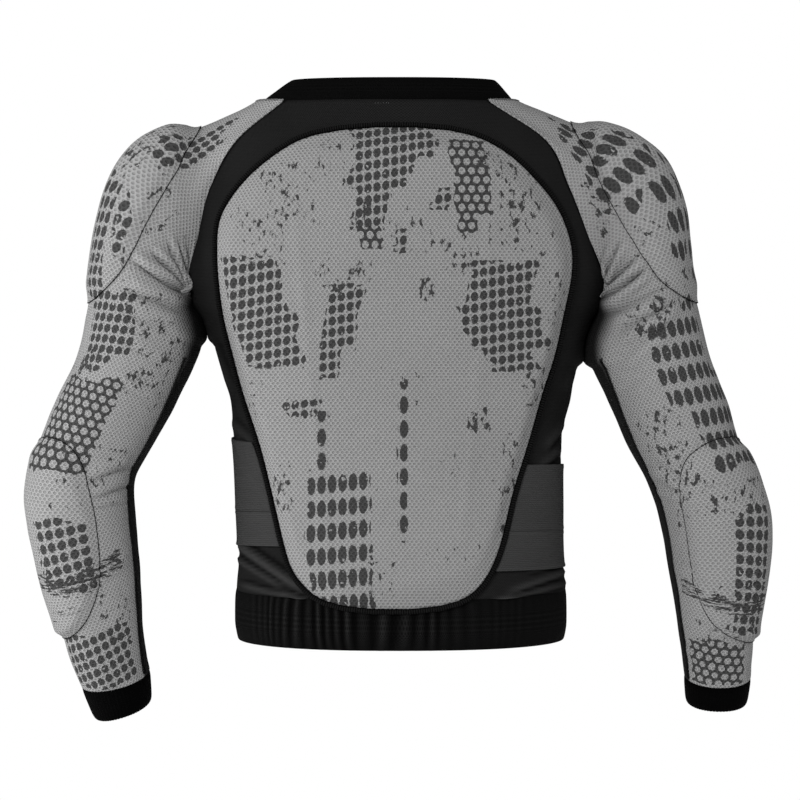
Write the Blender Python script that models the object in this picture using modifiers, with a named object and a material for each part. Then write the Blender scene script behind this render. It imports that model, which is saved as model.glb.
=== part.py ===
"""A protective jacket with a padded back, shoulders and elbows.

Metres, +Z up. -Y is the wearer's back, +X is the wearer's right. The origin
is the middle of the neck at the collar seam, where the jacket hangs on the
shoulders.
"""
import math

import bpy
from mathutils import Vector

# Body, measured on the outside of the cloth.
BODY_LENGTH = 0.598
NECK_WIDTH = 0.283
NECK_DEPTH = 0.150
CHEST_WIDTH = 0.455
CHEST_DEPTH = 0.240
WAIST_WIDTH = 0.355
WAIST_DEPTH = 0.206
HEM_WIDTH = 0.363
HEM_DEPTH = 0.216
FRONT_NECK_DROP = 0.055
HEM_BAND_HEIGHT = 0.056

# Collar.
COLLAR_HEIGHT = 0.025
COLLAR_TOP_WIDTH = 0.226
COLLAR_TOP_DEPTH = 0.118

# Sleeves: reach from the middle line, drop below the collar seam, shoulder depth.
SLEEVE_REACH = 0.412
SLEEVE_DROP = 0.640
SHOULDER_DEPTH = 0.204
ELBOW_FORWARD = 0.004
WRIST_FORWARD = 0.030
CUFF_LENGTH = 0.034

# Padding.
PROTECTOR_LENGTH = 0.528
PROTECTOR_WIDTH = 0.380
PROTECTOR_TOP = 0.030
PROTECTOR_THICKNESS = 0.014
PIPING_DIAMETER = 0.0040
SHOULDER_PAD_THICKNESS = 0.007
ELBOW_PAD_THICKNESS = 0.006

# Cloth walls, trim and clearances.
BODY_WALL = 0.0020
SLEEVE_WALL = 0.0020
COLLAR_WALL = 0.0040
CUFF_WALL = 0.0030
HEM_WALL = 0.0030
BELT_WALL = 0.0020
ZIP_WIDTH = 0.018
ZIP_WALL = 0.0030
SEAM_GAP = 0.0004
SEAT_GAP = 0.0018
BELT_GAP = 0.0008
SLEEVE_SEAT_GAP = 0.0021
CUFF_GAP = 0.0013
COLLAR_INSET = 0.0016
COLLAR_LIFT = 0.0010

# How square a cross section is: 2 is an ellipse.
BODY_SQUARENESS = 2.4
ARM_SQUARENESS = 2.15

# Body sections. down: share of BODY_LENGTH. left, right: half widths as shares of
# the width named in the row. back, front: shares of the depth named in the row.
# seam_l, seam_r: where the sleeve seam crosses, as shares of the half widths.
BODY = (
    # down, width, left, right, depth, back, front, seam_l, seam_r
    (0.000, NECK_WIDTH, 0.545, 0.455, NECK_DEPTH, 0.50, 0.50, 0.800, 0.735),
    (0.072, CHEST_WIDTH, 0.459, 0.415, CHEST_DEPTH, 0.40, 0.40, 0.837, 0.837),
    (0.158, CHEST_WIDTH, 0.495, 0.459, CHEST_DEPTH, 0.46, 0.48, 0.912, 0.884),
    (0.246, CHEST_WIDTH, 0.516, 0.489, CHEST_DEPTH, 0.49, 0.51, 0.935, 0.925),
    (0.318, CHEST_WIDTH, 0.529, 0.510, CHEST_DEPTH, 0.49, 0.51, 0.955, 0.957),
    (0.362, CHEST_WIDTH, 0.498, 0.488, CHEST_DEPTH, 0.485, 0.505, 1.0, 1.0),
    (0.415, CHEST_WIDTH, 0.459, 0.454, CHEST_DEPTH, 0.475, 0.49, 1.0, 1.0),
    (0.467, CHEST_WIDTH, 0.435, 0.432, CHEST_DEPTH, 0.46, 0.47, 1.0, 1.0),
    (0.542, CHEST_WIDTH, 0.408, 0.415, CHEST_DEPTH, 0.44, 0.45, 1.0, 1.0),
    (0.597, WAIST_WIDTH, 0.514, 0.508, WAIST_DEPTH, 0.50, 0.51, 1.0, 1.0),
    (0.664, WAIST_WIDTH, 0.505, 0.502, WAIST_DEPTH, 0.49, 0.50, 1.0, 1.0),
    (0.748, WAIST_WIDTH, 0.499, 0.502, WAIST_DEPTH, 0.49, 0.50, 1.0, 1.0),
    (0.803, WAIST_WIDTH, 0.495, 0.502, WAIST_DEPTH, 0.50, 0.505, 1.0, 1.0),
    (0.846, WAIST_WIDTH, 0.496, 0.505, WAIST_DEPTH, 0.51, 0.515, 1.0, 1.0),
    (0.893, HEM_WIDTH, 0.491, 0.503, HEM_DEPTH, 0.50, 0.50, 1.0, 1.0),
    (0.969, HEM_WIDTH, 0.494, 0.506, HEM_DEPTH, 0.50, 0.50, 1.0, 1.0),
    (1.000, HEM_WIDTH, 0.488, 0.500, HEM_DEPTH, 0.49, 0.49, 1.0, 1.0),
)
ARMPIT = 0.362

# Sleeve sections from the shoulder to the wrist. out_x, in_x: shares of SLEEVE_REACH.
# out_z, in_z: shares of SLEEVE_DROP. deep: share of SHOULDER_DEPTH. bend: 1 is the
# elbow's forward lean, 2 is the wrist's.
LEFT_SLEEVE = (
    # out_x, out_z, in_x, in_z, deep, bend
    (0.532, 0.046, 0.578, 0.340, 0.59, 0.0),
    (0.618, 0.050, 0.576, 0.343, 0.66, 0.0),
    (0.699, 0.079, 0.573, 0.345, 0.70, 0.0),
    (0.757, 0.132, 0.569, 0.348, 0.725, 0.0),
    (0.789, 0.199, 0.562, 0.352, 0.735, 0.0),
    (0.811, 0.284, 0.549, 0.361, 0.735, 0.05),
    (0.829, 0.364, 0.534, 0.376, 0.73, 0.1),
    (0.856, 0.436, 0.535, 0.423, 0.71, 0.3),
    (0.908, 0.510, 0.586, 0.495, 0.69, 0.5),
    (0.957, 0.588, 0.647, 0.572, 0.675, 0.8),
    (0.981, 0.668, 0.709, 0.644, 0.655, 1.0),
    (0.971, 0.734, 0.709, 0.717, 0.63, 1.15),
    (0.941, 0.820, 0.698, 0.799, 0.585, 1.4),
    (0.902, 0.899, 0.694, 0.861, 0.53, 1.65),
    (0.877, 0.954, 0.687, 0.923, 0.45, 1.85),
    (0.848, 1.000, 0.674, 0.976, 0.36, 2.0),
)
RIGHT_SLEEVE = (
    (0.476, 0.041, 0.568, 0.340, 0.59, 0.0),
    (0.551, 0.046, 0.566, 0.343, 0.66, 0.0),
    (0.639, 0.069, 0.563, 0.345, 0.70, 0.0),
    (0.704, 0.112, 0.559, 0.348, 0.725, 0.0),
    (0.748, 0.187, 0.551, 0.352, 0.735, 0.0),
    (0.768, 0.284, 0.538, 0.361, 0.735, 0.05),
    (0.797, 0.364, 0.526, 0.376, 0.73, 0.1),
    (0.826, 0.436, 0.507, 0.424, 0.71, 0.3),
    (0.869, 0.510, 0.553, 0.497, 0.69, 0.5),
    (0.904, 0.582, 0.612, 0.581, 0.675, 0.8),
    (0.950, 0.651, 0.666, 0.649, 0.655, 1.0),
    (0.977, 0.720, 0.703, 0.717, 0.63, 1.15),
    (0.966, 0.823, 0.733, 0.820, 0.585, 1.4),
    (0.948, 0.899, 0.749, 0.888, 0.53, 1.65),
    (0.944, 0.948, 0.762, 0.936, 0.45, 1.85),
    (0.939, 0.986, 0.770, 0.984, 0.36, 2.0),
)
# The cuff's far edge, moved from the sleeve's end as shares of CUFF_LENGTH.
CUFF_TURN = {
    # side: (out across, out down, in across, in down, narrowing)
    -1: (-0.42, 1.03, -0.06, 0.98, 0.97),
    1: (-0.13, 0.85, 0.06, 0.85, 0.97),
}

# Pads on the sleeves, in sleeve sections and in degrees round the arm, where 0 is
# the outer line and positive turns to the back.
SLEEVE_PADS = {
    # (kind, side): (middle section, half length, middle turn, half turn)
    ("shoulder", -1): (4.2, 2.65, 4.0, 74.0),
    ("shoulder", 1): (4.15, 2.65, 6.0, 80.0),
    ("elbow", -1): (12.2, 2.35, 30.0, 82.0),
    ("elbow", 1): (12.2, 2.3, 34.0, 90.0),
}

# Outline of the back protector. down: share of PROTECTOR_LENGTH. left, right: half
# widths as shares of PROTECTOR_WIDTH.
OUTLINE = (
    (0.000, 0.060, 0.090),
    (0.008, 0.190, 0.175),
    (0.030, 0.268, 0.254),
    (0.063, 0.343, 0.329),
    (0.110, 0.419, 0.396),
    (0.156, 0.468, 0.449),
    (0.194, 0.494, 0.477),
    (0.250, 0.500, 0.500),
    (0.306, 0.497, 0.500),
    (0.385, 0.483, 0.477),
    (0.470, 0.454, 0.451),
    (0.548, 0.425, 0.416),
    (0.654, 0.378, 0.375),
    (0.756, 0.343, 0.332),
    (0.862, 0.309, 0.297),
    (0.920, 0.283, 0.265),
    (0.952, 0.245, 0.233),
    (0.982, 0.190, 0.170),
    (0.996, 0.110, 0.100),
)
OUTLINE_MIDDLE = -0.013

# Waist belts. top, bottom: shares of BODY_LENGTH. slant: how far the back end of
# the top edge sits below its side end. front: the facets past the side seam that
# the belt covers on the front.
BELTS = {
    # name: (side, top, bottom, slant, front)
    "belt_upper_left": (-1, 0.603, 0.749, 0.020, 5),
    "belt_lower_left": (-1, 0.7497, 0.812, 0.0, 5),
    "belt_upper_right": (1, 0.664, 0.785, 0.0, 5),
    "belt_lower_right": (1, 0.7857, 0.858, 0.0, 5),
}

# Facets.
RING = 24
PANEL_STEPS = 8
EDGE = 48
EXTRA_SECTIONS = (0.5, 1.5, 7.5, 9.5, 11.5)
COLLAR_STEPS = 3
SEAM_STEPS = RING // 2 - COLLAR_STEPS

MATERIALS = {
    # name: (grey level, roughness)
    "grey mesh": (0.30, 0.80),
    "black cloth": (0.010, 0.90),
    "black collar": (0.006, 0.85),
    "dark elastic": (0.045, 0.75),
    "black piping": (0.015, 0.70),
    "zip": (0.020, 0.55),
}


def power(value, exponent):
    """Signed power, for the square-ish ellipses."""
    return math.copysign(abs(value) ** exponent, value)


def smooth_rows(rows, at):
    """One row of a table at any place of its first column, on a smooth line."""
    keys = [row[0] for row in rows]
    at = min(max(at, keys[0]), keys[-1])
    index = 0
    while index < len(keys) - 2 and at > keys[index + 1]:
        index += 1
    width = keys[index + 1] - keys[index]
    share = (at - keys[index]) / width
    before = max(index - 1, 0)
    after = min(index + 2, len(keys) - 1)
    values = []
    for column in range(1, len(rows[0])):
        start = rows[index][column]
        end = rows[index + 1][column]
        slope_a = (end - rows[before][column]) / (keys[index + 1] - keys[before])
        slope_b = (rows[after][column] - start) / (keys[after] - keys[index])
        square = share * share
        cube = square * share
        values.append(
            start * (2 * cube - 3 * square + 1)
            + end * (3 * square - 2 * cube)
            + width * slope_a * (cube - 2 * square + share)
            + width * slope_b * (cube - square)
        )
    return values


BODY_METRES = tuple(
    (down, width * left, width * right, depth * back, depth * front, seam_l, seam_r)
    for down, width, left, right, depth, back, front, seam_l, seam_r in BODY
)


def body_point(side, down, turn):
    """A point on the body. turn is 0 at the side, 90 at the back, -90 in front."""
    left, right, back, front, _, _ = smooth_rows(BODY_METRES, down)
    half = right if side > 0 else left
    angle = math.radians(turn)
    exponent = 2 / BODY_SQUARENESS
    x = side * half * abs(math.cos(angle)) ** exponent
    deep = abs(math.sin(angle)) ** exponent
    fade = max(0.0, 1 - down / ARMPIT)
    lower = 0.0
    if turn < 0:
        lower = FRONT_NECK_DROP * fade * fade * (3 - 2 * fade) * math.sin(angle) ** 2
    y = front * deep if turn < 0 else -back * deep
    return Vector((x, y, -down * BODY_LENGTH - lower))


def seam_turn(side, down):
    """Where the sleeve seam crosses the body, in degrees from the side."""
    row = smooth_rows(BODY_METRES, down)
    share = min(1.0, row[5] if side > 0 else row[4])
    if down >= ARMPIT:
        return 0.0
    return math.degrees(math.acos(share ** (BODY_SQUARENESS / 2)))


def turn_at(side, down, across, to_front=False):
    """The turn at which the body is a given distance from the middle line."""
    left, right = smooth_rows(BODY_METRES, down)[:2]
    half = right if side > 0 else left
    share = min(1.0, max(0.0, across / half))
    turn = math.degrees(math.acos(share ** (BODY_SQUARENESS / 2)))
    return -turn if to_front else turn


def slope(surface, a, b, step_a, step_b, away_from):
    """Outward normal of a surface given as a function of two values."""
    along = surface(a + step_a, b) - surface(a - step_a, b)
    across = surface(a, b + step_b) - surface(a, b - step_b)
    normal = along.cross(across).normalized()
    if normal.dot(surface(a, b) - away_from) < 0:
        normal.negate()
    return normal


def back_point(x, down):
    """A point on the back, from its distance across and its share down."""
    side = 1 if x >= 0 else -1
    return body_point(side, down, turn_at(side, down, abs(x)))


def back_normal(x, down):
    middle = Vector((0, 0, -down * BODY_LENGTH))
    return slope(back_point, x, down, 0.002, 0.004, middle)


def body_normal(side, down, turn):
    middle = Vector((0, 0, -down * BODY_LENGTH))

    def here(a, b):
        return body_point(side, a, b)

    down = min(max(down, 0.004), 0.996)
    turn = math.copysign(max(abs(turn), 1.5), turn if turn else 1)
    return slope(here, down, turn, 0.004, 1.0, middle)


def armhole_point(side, turn):
    """The sleeve's first section: the collar's side, then both sleeve seams."""
    corner = 180.0 * COLLAR_STEPS / (RING / 2)
    back = turn >= 0
    size = abs(turn)
    if size <= corner:
        reach = seam_turn(side, 0.0) * size / corner
        down = 0.0
    else:
        down = seam_down((size - corner) / (180.0 - corner))
        reach = seam_turn(side, down)
    reach = reach if back else -reach
    return body_point(side, down, reach) + body_normal(side, down, reach) * SEAM_GAP * 1.5


def seam_down(share):
    """Shares of BODY_LENGTH along the sleeve seam, closer at the armpit."""
    return ARMPIT * math.sin(math.pi / 2 * share)


def arm_section(side, index, turn):
    """A point on one of the sleeve's own sections."""
    table = RIGHT_SLEEVE if side > 0 else LEFT_SLEEVE
    out_x, out_z, in_x, in_z, deep, bend = table[index]
    outer = Vector((side * out_x * SLEEVE_REACH, 0, -out_z * SLEEVE_DROP))
    inner = Vector((side * in_x * SLEEVE_REACH, 0, -in_z * SLEEVE_DROP))
    return oval(outer, inner, deep * SHOULDER_DEPTH / 2, lean(bend), turn)


def lean(bend):
    """Forward distance of the arm for a bend from 0 to 2."""
    if bend <= 1:
        return ELBOW_FORWARD * bend
    return ELBOW_FORWARD + (WRIST_FORWARD - ELBOW_FORWARD) * (bend - 1)


def oval(outer, inner, half_depth, forward, turn):
    """A point of an oval ring that runs through an outer and an inner point."""
    angle = math.radians(turn)
    exponent = 2 / ARM_SQUARENESS
    middle = (outer + inner) / 2
    point = middle + (outer - middle) * power(math.cos(angle), exponent)
    point.y = forward - half_depth * power(math.sin(angle), exponent)
    return point


def sleeve_point(side, place, turn):
    """A point on the sleeve. place 0 is the armhole, 16 is the wrist."""
    last = len(LEFT_SLEEVE)
    place = min(max(place, 0.0), float(last))
    index = min(int(place), last - 1)
    share = place - index

    def ring(number):
        number = min(max(number, 0), last)
        if number == 0:
            return armhole_point(side, turn)
        return arm_section(side, number - 1, turn)

    p0, p1, p2, p3 = (ring(index + step) for step in (-1, 0, 1, 2))
    square = share * share
    cube = square * share
    return 0.5 * (
        2 * p1
        + (p2 - p0) * share
        + (2 * p0 - 5 * p1 + 4 * p2 - p3) * square
        + (3 * p1 - p0 - 3 * p2 + p3) * cube
    )


def sleeve_normal(side, place, turn):
    place = min(max(place, 0.05), len(LEFT_SLEEVE) - 0.05)
    middle = (sleeve_point(side, place, 0) + sleeve_point(side, place, 180)) / 2

    def here(a, b):
        return sleeve_point(side, a, b)

    return slope(here, place, turn, 0.04, 2.0, middle)


def make_material(name):
    level, roughness = MATERIALS[name]
    material = bpy.data.materials.new(name)
    material.use_nodes = True
    shader = material.node_tree.nodes["Principled BSDF"]
    shader.inputs["Base Color"].default_value = (level, level, level, 1)
    shader.inputs["Roughness"].default_value = roughness
    shader.inputs["Metallic"].default_value = 0.0
    material.diffuse_color = (level, level, level, 1)
    return material


def make_sheet(name, grid, outward, wall, material, wrap=False, middle=None, fill=None):
    """Cloth from rows of points, thickened by Solidify.

    outward gives the way out at the first point of the middle row. wall is
    positive for cloth that thickens outward, negative for inward. middle closes
    the last ring at one point. fill holds a share of the wall for each row.
    """
    points = [tuple(point) for row in grid for point in row]
    count = len(grid[0])
    faces = []
    for row in range(len(grid) - 1):
        for column in range(count if wrap else count - 1):
            beside = (column + 1) % count
            a = row * count + column
            b = row * count + beside
            c = (row + 1) * count + beside
            d = (row + 1) * count + column
            faces.append((a, b, c))
            faces.append((a, c, d))
    if middle is not None:
        points.append(tuple(middle))
        first = (len(grid) - 1) * count
        for column in range(count):
            faces.append((first + column, first + (column + 1) % count, len(points) - 1))
    mesh = bpy.data.meshes.new(name)
    mesh.from_pydata(points, [], faces)
    row = len(grid) // 2
    if mesh.vertices[row * count].normal.dot(outward) < 0:
        mesh.flip_normals()
    mesh.shade_smooth()
    piece = bpy.data.objects.new(name, mesh)
    mesh.materials.append(make_material(material))
    collection.objects.link(piece)
    shell = piece.modifiers.new("wall", "SOLIDIFY")
    shell.thickness = abs(wall)
    shell.offset = 1.0 if wall > 0 else -1.0
    shell.use_even_offset = False
    shell.use_rim = True
    if fill is not None:
        group = piece.vertex_groups.new(name="fill")
        for number, share in enumerate(fill):
            members = list(range(number * count, (number + 1) * count))
            group.add(members, share, "REPLACE")
        if middle is not None:
            group.add([len(points) - 1], fill[-1], "REPLACE")
        shell.vertex_group = group.name
    return piece


def spread(start, end, steps):
    return [start + (end - start) * step / steps for step in range(steps + 1)]


def outline_loop(count, grow=0.0):
    """Points round the protector, evenly spaced, in metres across and down."""
    right = []
    left = []
    for down in spread(0.0, OUTLINE[-1][0], 72):
        half_left, half_right = smooth_rows(OUTLINE, down)
        right.append(Vector((half_right, down)))
        left.append(Vector((-half_left, down)))
    loop = right + left[::-1]
    loop = [
        Vector(((p.x + OUTLINE_MIDDLE) * PROTECTOR_WIDTH, p.y * PROTECTOR_LENGTH)) for p in loop
    ]
    lengths = [0.0]
    for number, point in enumerate(loop):
        following = loop[(number + 1) % len(loop)]
        lengths.append(lengths[-1] + (following - point).length)
    even = []
    number = 0
    for step in range(count):
        wanted = lengths[-1] * step / count
        while lengths[number + 1] < wanted:
            number += 1
        share = (wanted - lengths[number]) / (lengths[number + 1] - lengths[number])
        start = loop[number]
        even.append(start.lerp(loop[(number + 1) % len(loop)], share))
    grown = []
    for number, point in enumerate(even):
        before = even[number - 1]
        after = even[(number + 1) % count]
        along = (after - before).normalized()
        grown.append(point + Vector((along.y, -along.x)) * grow)
    return grown


def protector_edge(side, down):
    """Distance from the middle line to the protector's edge, at a share of BODY_LENGTH."""
    place = (down * BODY_LENGTH - PROTECTOR_TOP) / PROTECTOR_LENGTH
    left, right = smooth_rows(OUTLINE, place)
    half = right + OUTLINE_MIDDLE if side > 0 else left - OUTLINE_MIDDLE
    return half * PROTECTOR_WIDTH


def on_back(point, lift):
    """A point of the outline, laid on the back and lifted off it."""
    down = (point.y + PROTECTOR_TOP) / BODY_LENGTH
    return back_point(point.x, down) + back_normal(point.x, down) * lift


def hem_start():
    return 1 - HEM_BAND_HEIGHT / BODY_LENGTH


def build_body():
    seam_rows = [seam_down(step / SEAM_STEPS) for step in range(SEAM_STEPS + 1)]
    panel_end = hem_start() - SEAM_GAP / BODY_LENGTH
    rows = seam_rows + spread(ARMPIT, panel_end, 9)[1:]
    sides = (-1, 1)

    def nearest_turn(side, down):
        depth = smooth_rows(BODY_METRES, down)[2]
        least = math.degrees(math.asin((SEAM_GAP / depth) ** (BODY_SQUARENESS / 2)))
        return max(seam_turn(side, down), least)

    grid = []
    for down in rows:
        turns_l = spread(nearest_turn(-1, down), 90, PANEL_STEPS)
        turns_r = spread(90, nearest_turn(1, down), PANEL_STEPS)
        left = [body_point(-1, down, t) for t in turns_l]
        right = [body_point(1, down, t) for t in turns_r]
        grid.append(left + right[1:])
    make_sheet("back_body", grid, Vector((-1, -0.2, 0)), -BODY_WALL, "black cloth")

    for side in sides:
        grid = []
        for down in rows:
            zip_turn = turn_at(side, down, ZIP_WIDTH / 2 + SEAM_GAP, True)
            turns = spread(-nearest_turn(side, down), -90, PANEL_STEPS)[:-1] + [zip_turn]
            grid.append([body_point(side, down, t) for t in turns])
        name = "front_panel_right" if side > 0 else "front_panel_left"
        make_sheet(name, grid, Vector((side, 0.2, 0)), -BODY_WALL, "black cloth")

    grid = []
    for down in rows:
        edge_l = turn_at(-1, down, ZIP_WIDTH / 2, True)
        edge_r = turn_at(1, down, ZIP_WIDTH / 2, True)
        grid.append([body_point(-1, down, edge_l), body_point(1, down, -90), body_point(1, down, edge_r)])
    make_sheet("front_zip", grid, Vector((0, 1, 0)), -ZIP_WALL, "zip")


def build_loops():
    """The collar and the hem band, both closed rings."""
    turns = [360.0 * step / 40 for step in range(40)]

    def split(turn):
        angle = math.radians(turn)
        side = 1 if math.cos(angle) >= -1e-9 else -1
        return side, math.degrees(math.atan2(math.sin(angle), abs(math.cos(angle))))

    grid = []
    for height in (0.0, 0.5, 1.0):
        row = []
        for turn in turns:
            side, round_turn = split(turn)
            base = body_point(side, 0.0, round_turn)
            base -= body_normal(side, 0.0, round_turn) * COLLAR_INSET
            foot_share = 0.545 if side < 0 else 0.455
            top_share = 0.527 if side < 0 else 0.473
            ease = height ** 0.9
            wide = (COLLAR_TOP_WIDTH * top_share) / (NECK_WIDTH * foot_share)
            deep = COLLAR_TOP_DEPTH / NECK_DEPTH
            base.x *= 1 + (wide - 1) * ease
            base.y *= 1 + (deep - 1) * ease
            base.z += COLLAR_LIFT + COLLAR_HEIGHT * height
            row.append(base)
        grid.append(row)
    make_sheet("collar", grid, Vector((1, 0, 0.5)), -COLLAR_WALL, "black collar", wrap=True)

    grid = []
    for down in spread(hem_start(), 1.0, 2):
        row = []
        for turn in turns:
            side, round_turn = split(turn)
            row.append(body_point(side, down, round_turn))
        grid.append(row)
    make_sheet("hem_band", grid, Vector((1, 0, 0)), -HEM_WALL, "black cloth", wrap=True)


def build_protector():
    loop = outline_loop(EDGE)
    centre = Vector((OUTLINE_MIDDLE * PROTECTOR_WIDTH, 0.47 * PROTECTOR_LENGTH))
    shares = (1.0, 0.955, 0.88, 0.72, 0.54, 0.36, 0.18)
    grid = [[on_back(centre.lerp(p, share), SEAT_GAP) for p in loop] for share in shares]
    make_sheet(
        "back_protector",
        grid,
        Vector((0, -1, 0)),
        PROTECTOR_THICKNESS,
        "grey mesh",
        wrap=True,
        middle=on_back(centre, SEAT_GAP),
        fill=(0.25, 0.72, 0.93, 1.0, 1.0, 1.0, 1.0),
    )
    radius = PIPING_DIAMETER / 2
    path = outline_loop(EDGE, radius + SEAM_GAP * 2)
    curve = bpy.data.curves.new("back_piping", "CURVE")
    curve.dimensions = "3D"
    curve.bevel_depth = radius
    curve.bevel_resolution = 1
    spline = curve.splines.new("POLY")
    spline.points.add(len(path) - 1)
    for point, place in zip(spline.points, path):
        point.co = (*on_back(place, radius + SEAT_GAP), 1)
    spline.use_cyclic_u = True
    curve.materials.append(make_material("black piping"))
    collection.objects.link(bpy.data.objects.new("back_piping", curve))


def build_sleeve(side):
    word = "right" if side > 0 else "left"
    last = len(LEFT_SLEEVE)
    turns = [360.0 * step / RING - 180.0 for step in range(RING)]
    places = sorted([float(n) for n in range(last + 1)] + list(EXTRA_SECTIONS))
    grid = [[sleeve_point(side, place, turn) for turn in turns] for place in places]
    outward = Vector((-side, 0, -1))
    make_sheet("sleeve_" + word, grid, outward, SLEEVE_WALL, "grey mesh", wrap=True)

    out_across, out_down, in_across, in_down, narrowing = CUFF_TURN[side]
    table = RIGHT_SLEEVE if side > 0 else LEFT_SLEEVE
    out_x, out_z, in_x, in_z, deep, bend = table[-1]
    outer = Vector((side * out_x * SLEEVE_REACH, 0, -out_z * SLEEVE_DROP))
    inner = Vector((side * in_x * SLEEVE_REACH, 0, -in_z * SLEEVE_DROP))
    outer_way = Vector((side * out_across, 0, -out_down))
    inner_way = Vector((side * in_across, 0, -in_down))
    grid = []
    for share in spread(CUFF_GAP / CUFF_LENGTH, 1.0, 3):
        ring_outer = outer + outer_way * CUFF_LENGTH * share
        ring_inner = inner + inner_way * CUFF_LENGTH * share
        half = deep * SHOULDER_DEPTH / 2 * (1 + (narrowing - 1) * share)
        forward = lean(bend) + 0.02 * CUFF_LENGTH * share
        grid.append([oval(ring_outer, ring_inner, half, forward, turn) for turn in turns])
    make_sheet("cuff_" + word, grid, outward, CUFF_WALL, "black cloth", wrap=True)

    for kind, wall in (("shoulder", SHOULDER_PAD_THICKNESS), ("elbow", ELBOW_PAD_THICKNESS)):
        middle, half, middle_turn, half_turn = SLEEVE_PADS[kind, side]
        lift = SLEEVE_WALL + SLEEVE_SEAT_GAP

        def spot(share, way):
            place = middle + half * share * math.cos(way)
            turn = middle_turn + half_turn * share * math.sin(way)
            return sleeve_point(side, place, turn) + sleeve_normal(side, place, turn) * lift

        ways = [2 * math.pi * step / 24 for step in range(24)]
        shares = (1.0, 0.92, 0.76, 0.56, 0.36, 0.18)
        grid = [[spot(share, way) for way in ways] for share in shares]
        make_sheet(
            kind + "_pad_" + word,
            grid,
            sleeve_normal(side, middle + half * 0.56, middle_turn),
            wall,
            "grey mesh",
            wrap=True,
            middle=spot(0.0, 0.0),
            fill=(0.2, 0.6, 0.9, 1.0, 1.0, 1.0),
        )


def build_belts():
    for name, (side, top, bottom, slant, front) in BELTS.items():
        grid = []
        for level in (0.0, 0.33, 0.67, 1.0):
            row = []
            down = top + (bottom - top) * level
            clear = PIPING_DIAMETER + SEAM_GAP * 6
            turns = []
            limit = turn_at(side, down, protector_edge(side, down) + clear)
            for step in range(PANEL_STEPS - 2, -front - 1, -1):
                turns.append(min(90 / PANEL_STEPS * step, limit))
                limit = turns[-1] - 0.6
            for number, turn in enumerate(turns):
                share = number / (len(turns) - 1)
                down = top + slant * (1 - share) * (1 - level)
                down += (bottom - down) * level
                lift = body_normal(side, down, turn) * BELT_GAP
                row.append(body_point(side, down, turn) + lift)
            grid.append(row)
        outward = body_normal(side, (top + bottom) / 2, 30)
        make_sheet(name, grid, outward, BELT_WALL, "dark elastic")


for old in list(bpy.data.objects):
    bpy.data.objects.remove(old, do_unlink=True)

collection = bpy.data.collections.new("body_protector")
bpy.context.scene.collection.children.link(collection)

build_body()
build_loops()
build_protector()
for arm in (-1, 1):
    build_sleeve(arm)
build_belts()
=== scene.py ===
# %% [markdown]
# # A protective jacket, seen from behind
#
# The packed model gives the plain forms of the jacket. This lesson dresses them: finer
# cloth for every panel, padded parts with seams, a dotted print, knitted mesh and elastic.
# It begins with the frame, because every new piece has to lie where the frame's piece lies.

import math

import bmesh
import bpy
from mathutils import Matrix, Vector, noise


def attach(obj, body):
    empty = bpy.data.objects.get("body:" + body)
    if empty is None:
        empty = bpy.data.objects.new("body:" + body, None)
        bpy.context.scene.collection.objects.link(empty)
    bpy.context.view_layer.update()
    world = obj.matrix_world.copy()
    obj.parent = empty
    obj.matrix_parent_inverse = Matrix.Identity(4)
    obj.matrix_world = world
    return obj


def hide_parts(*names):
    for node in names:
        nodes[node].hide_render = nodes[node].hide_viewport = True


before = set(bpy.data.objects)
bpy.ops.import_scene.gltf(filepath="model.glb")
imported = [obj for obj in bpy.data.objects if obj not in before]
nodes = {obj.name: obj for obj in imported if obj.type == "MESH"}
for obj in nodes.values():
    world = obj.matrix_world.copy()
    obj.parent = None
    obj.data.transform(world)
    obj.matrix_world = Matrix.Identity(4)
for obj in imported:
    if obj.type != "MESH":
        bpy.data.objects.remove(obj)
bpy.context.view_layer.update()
print("frame:", len(nodes), "nodes")

# %% [markdown]
# ## The cut of the jacket
#
# A tailor works from a few body measures, here in metres. The same measures shape the
# frame, so the fine cloth and the plain solid agree. They could be read off the frame's
# solids instead, but a named length says what it is.

# %% Measures
BODY_LENGTH = 0.598
NECK_WIDTH, NECK_DEPTH = 0.283, 0.150
CHEST_WIDTH, CHEST_DEPTH = 0.455, 0.240
WAIST_WIDTH, WAIST_DEPTH = 0.355, 0.206
HEM_WIDTH, HEM_DEPTH = 0.363, 0.216
FRONT_NECK_DROP, HEM_BAND_HEIGHT = 0.055, 0.056
COLLAR_HEIGHT, COLLAR_TOP_WIDTH, COLLAR_TOP_DEPTH = 0.025, 0.226, 0.118
SLEEVE_REACH, SLEEVE_DROP, SHOULDER_DEPTH = 0.412, 0.640, 0.204
ELBOW_FORWARD, WRIST_FORWARD, CUFF_LENGTH = 0.004, 0.030, 0.034
PROTECTOR_LENGTH, PROTECTOR_WIDTH, PROTECTOR_TOP = 0.528, 0.380, 0.030
BELT_GAP, SEAM_GAP = 0.0008, 0.0004
COLLAR_INSET, COLLAR_LIFT, CUFF_GAP, ZIP_WIDTH = 0.0016, 0.0010, 0.0013, 0.018
BODY_SQUARENESS, ARM_SQUARENESS, ARMPIT = 2.4, 2.15, 0.362
HEM_LIFT = 0.010  # the hem hangs lowest at the middle of the back
print("the back is", BODY_LENGTH, "m long")

# %% [markdown]
# ## Three tables
#
# The first follows the body from collar to hem, in shares of its length and widths. The
# second follows each sleeve from the shoulder to the wrist, by its outer and inner line.
# The third is the outline of the padded back panel. A jacket never hangs quite evenly, so
# left and right have their own columns.

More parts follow.
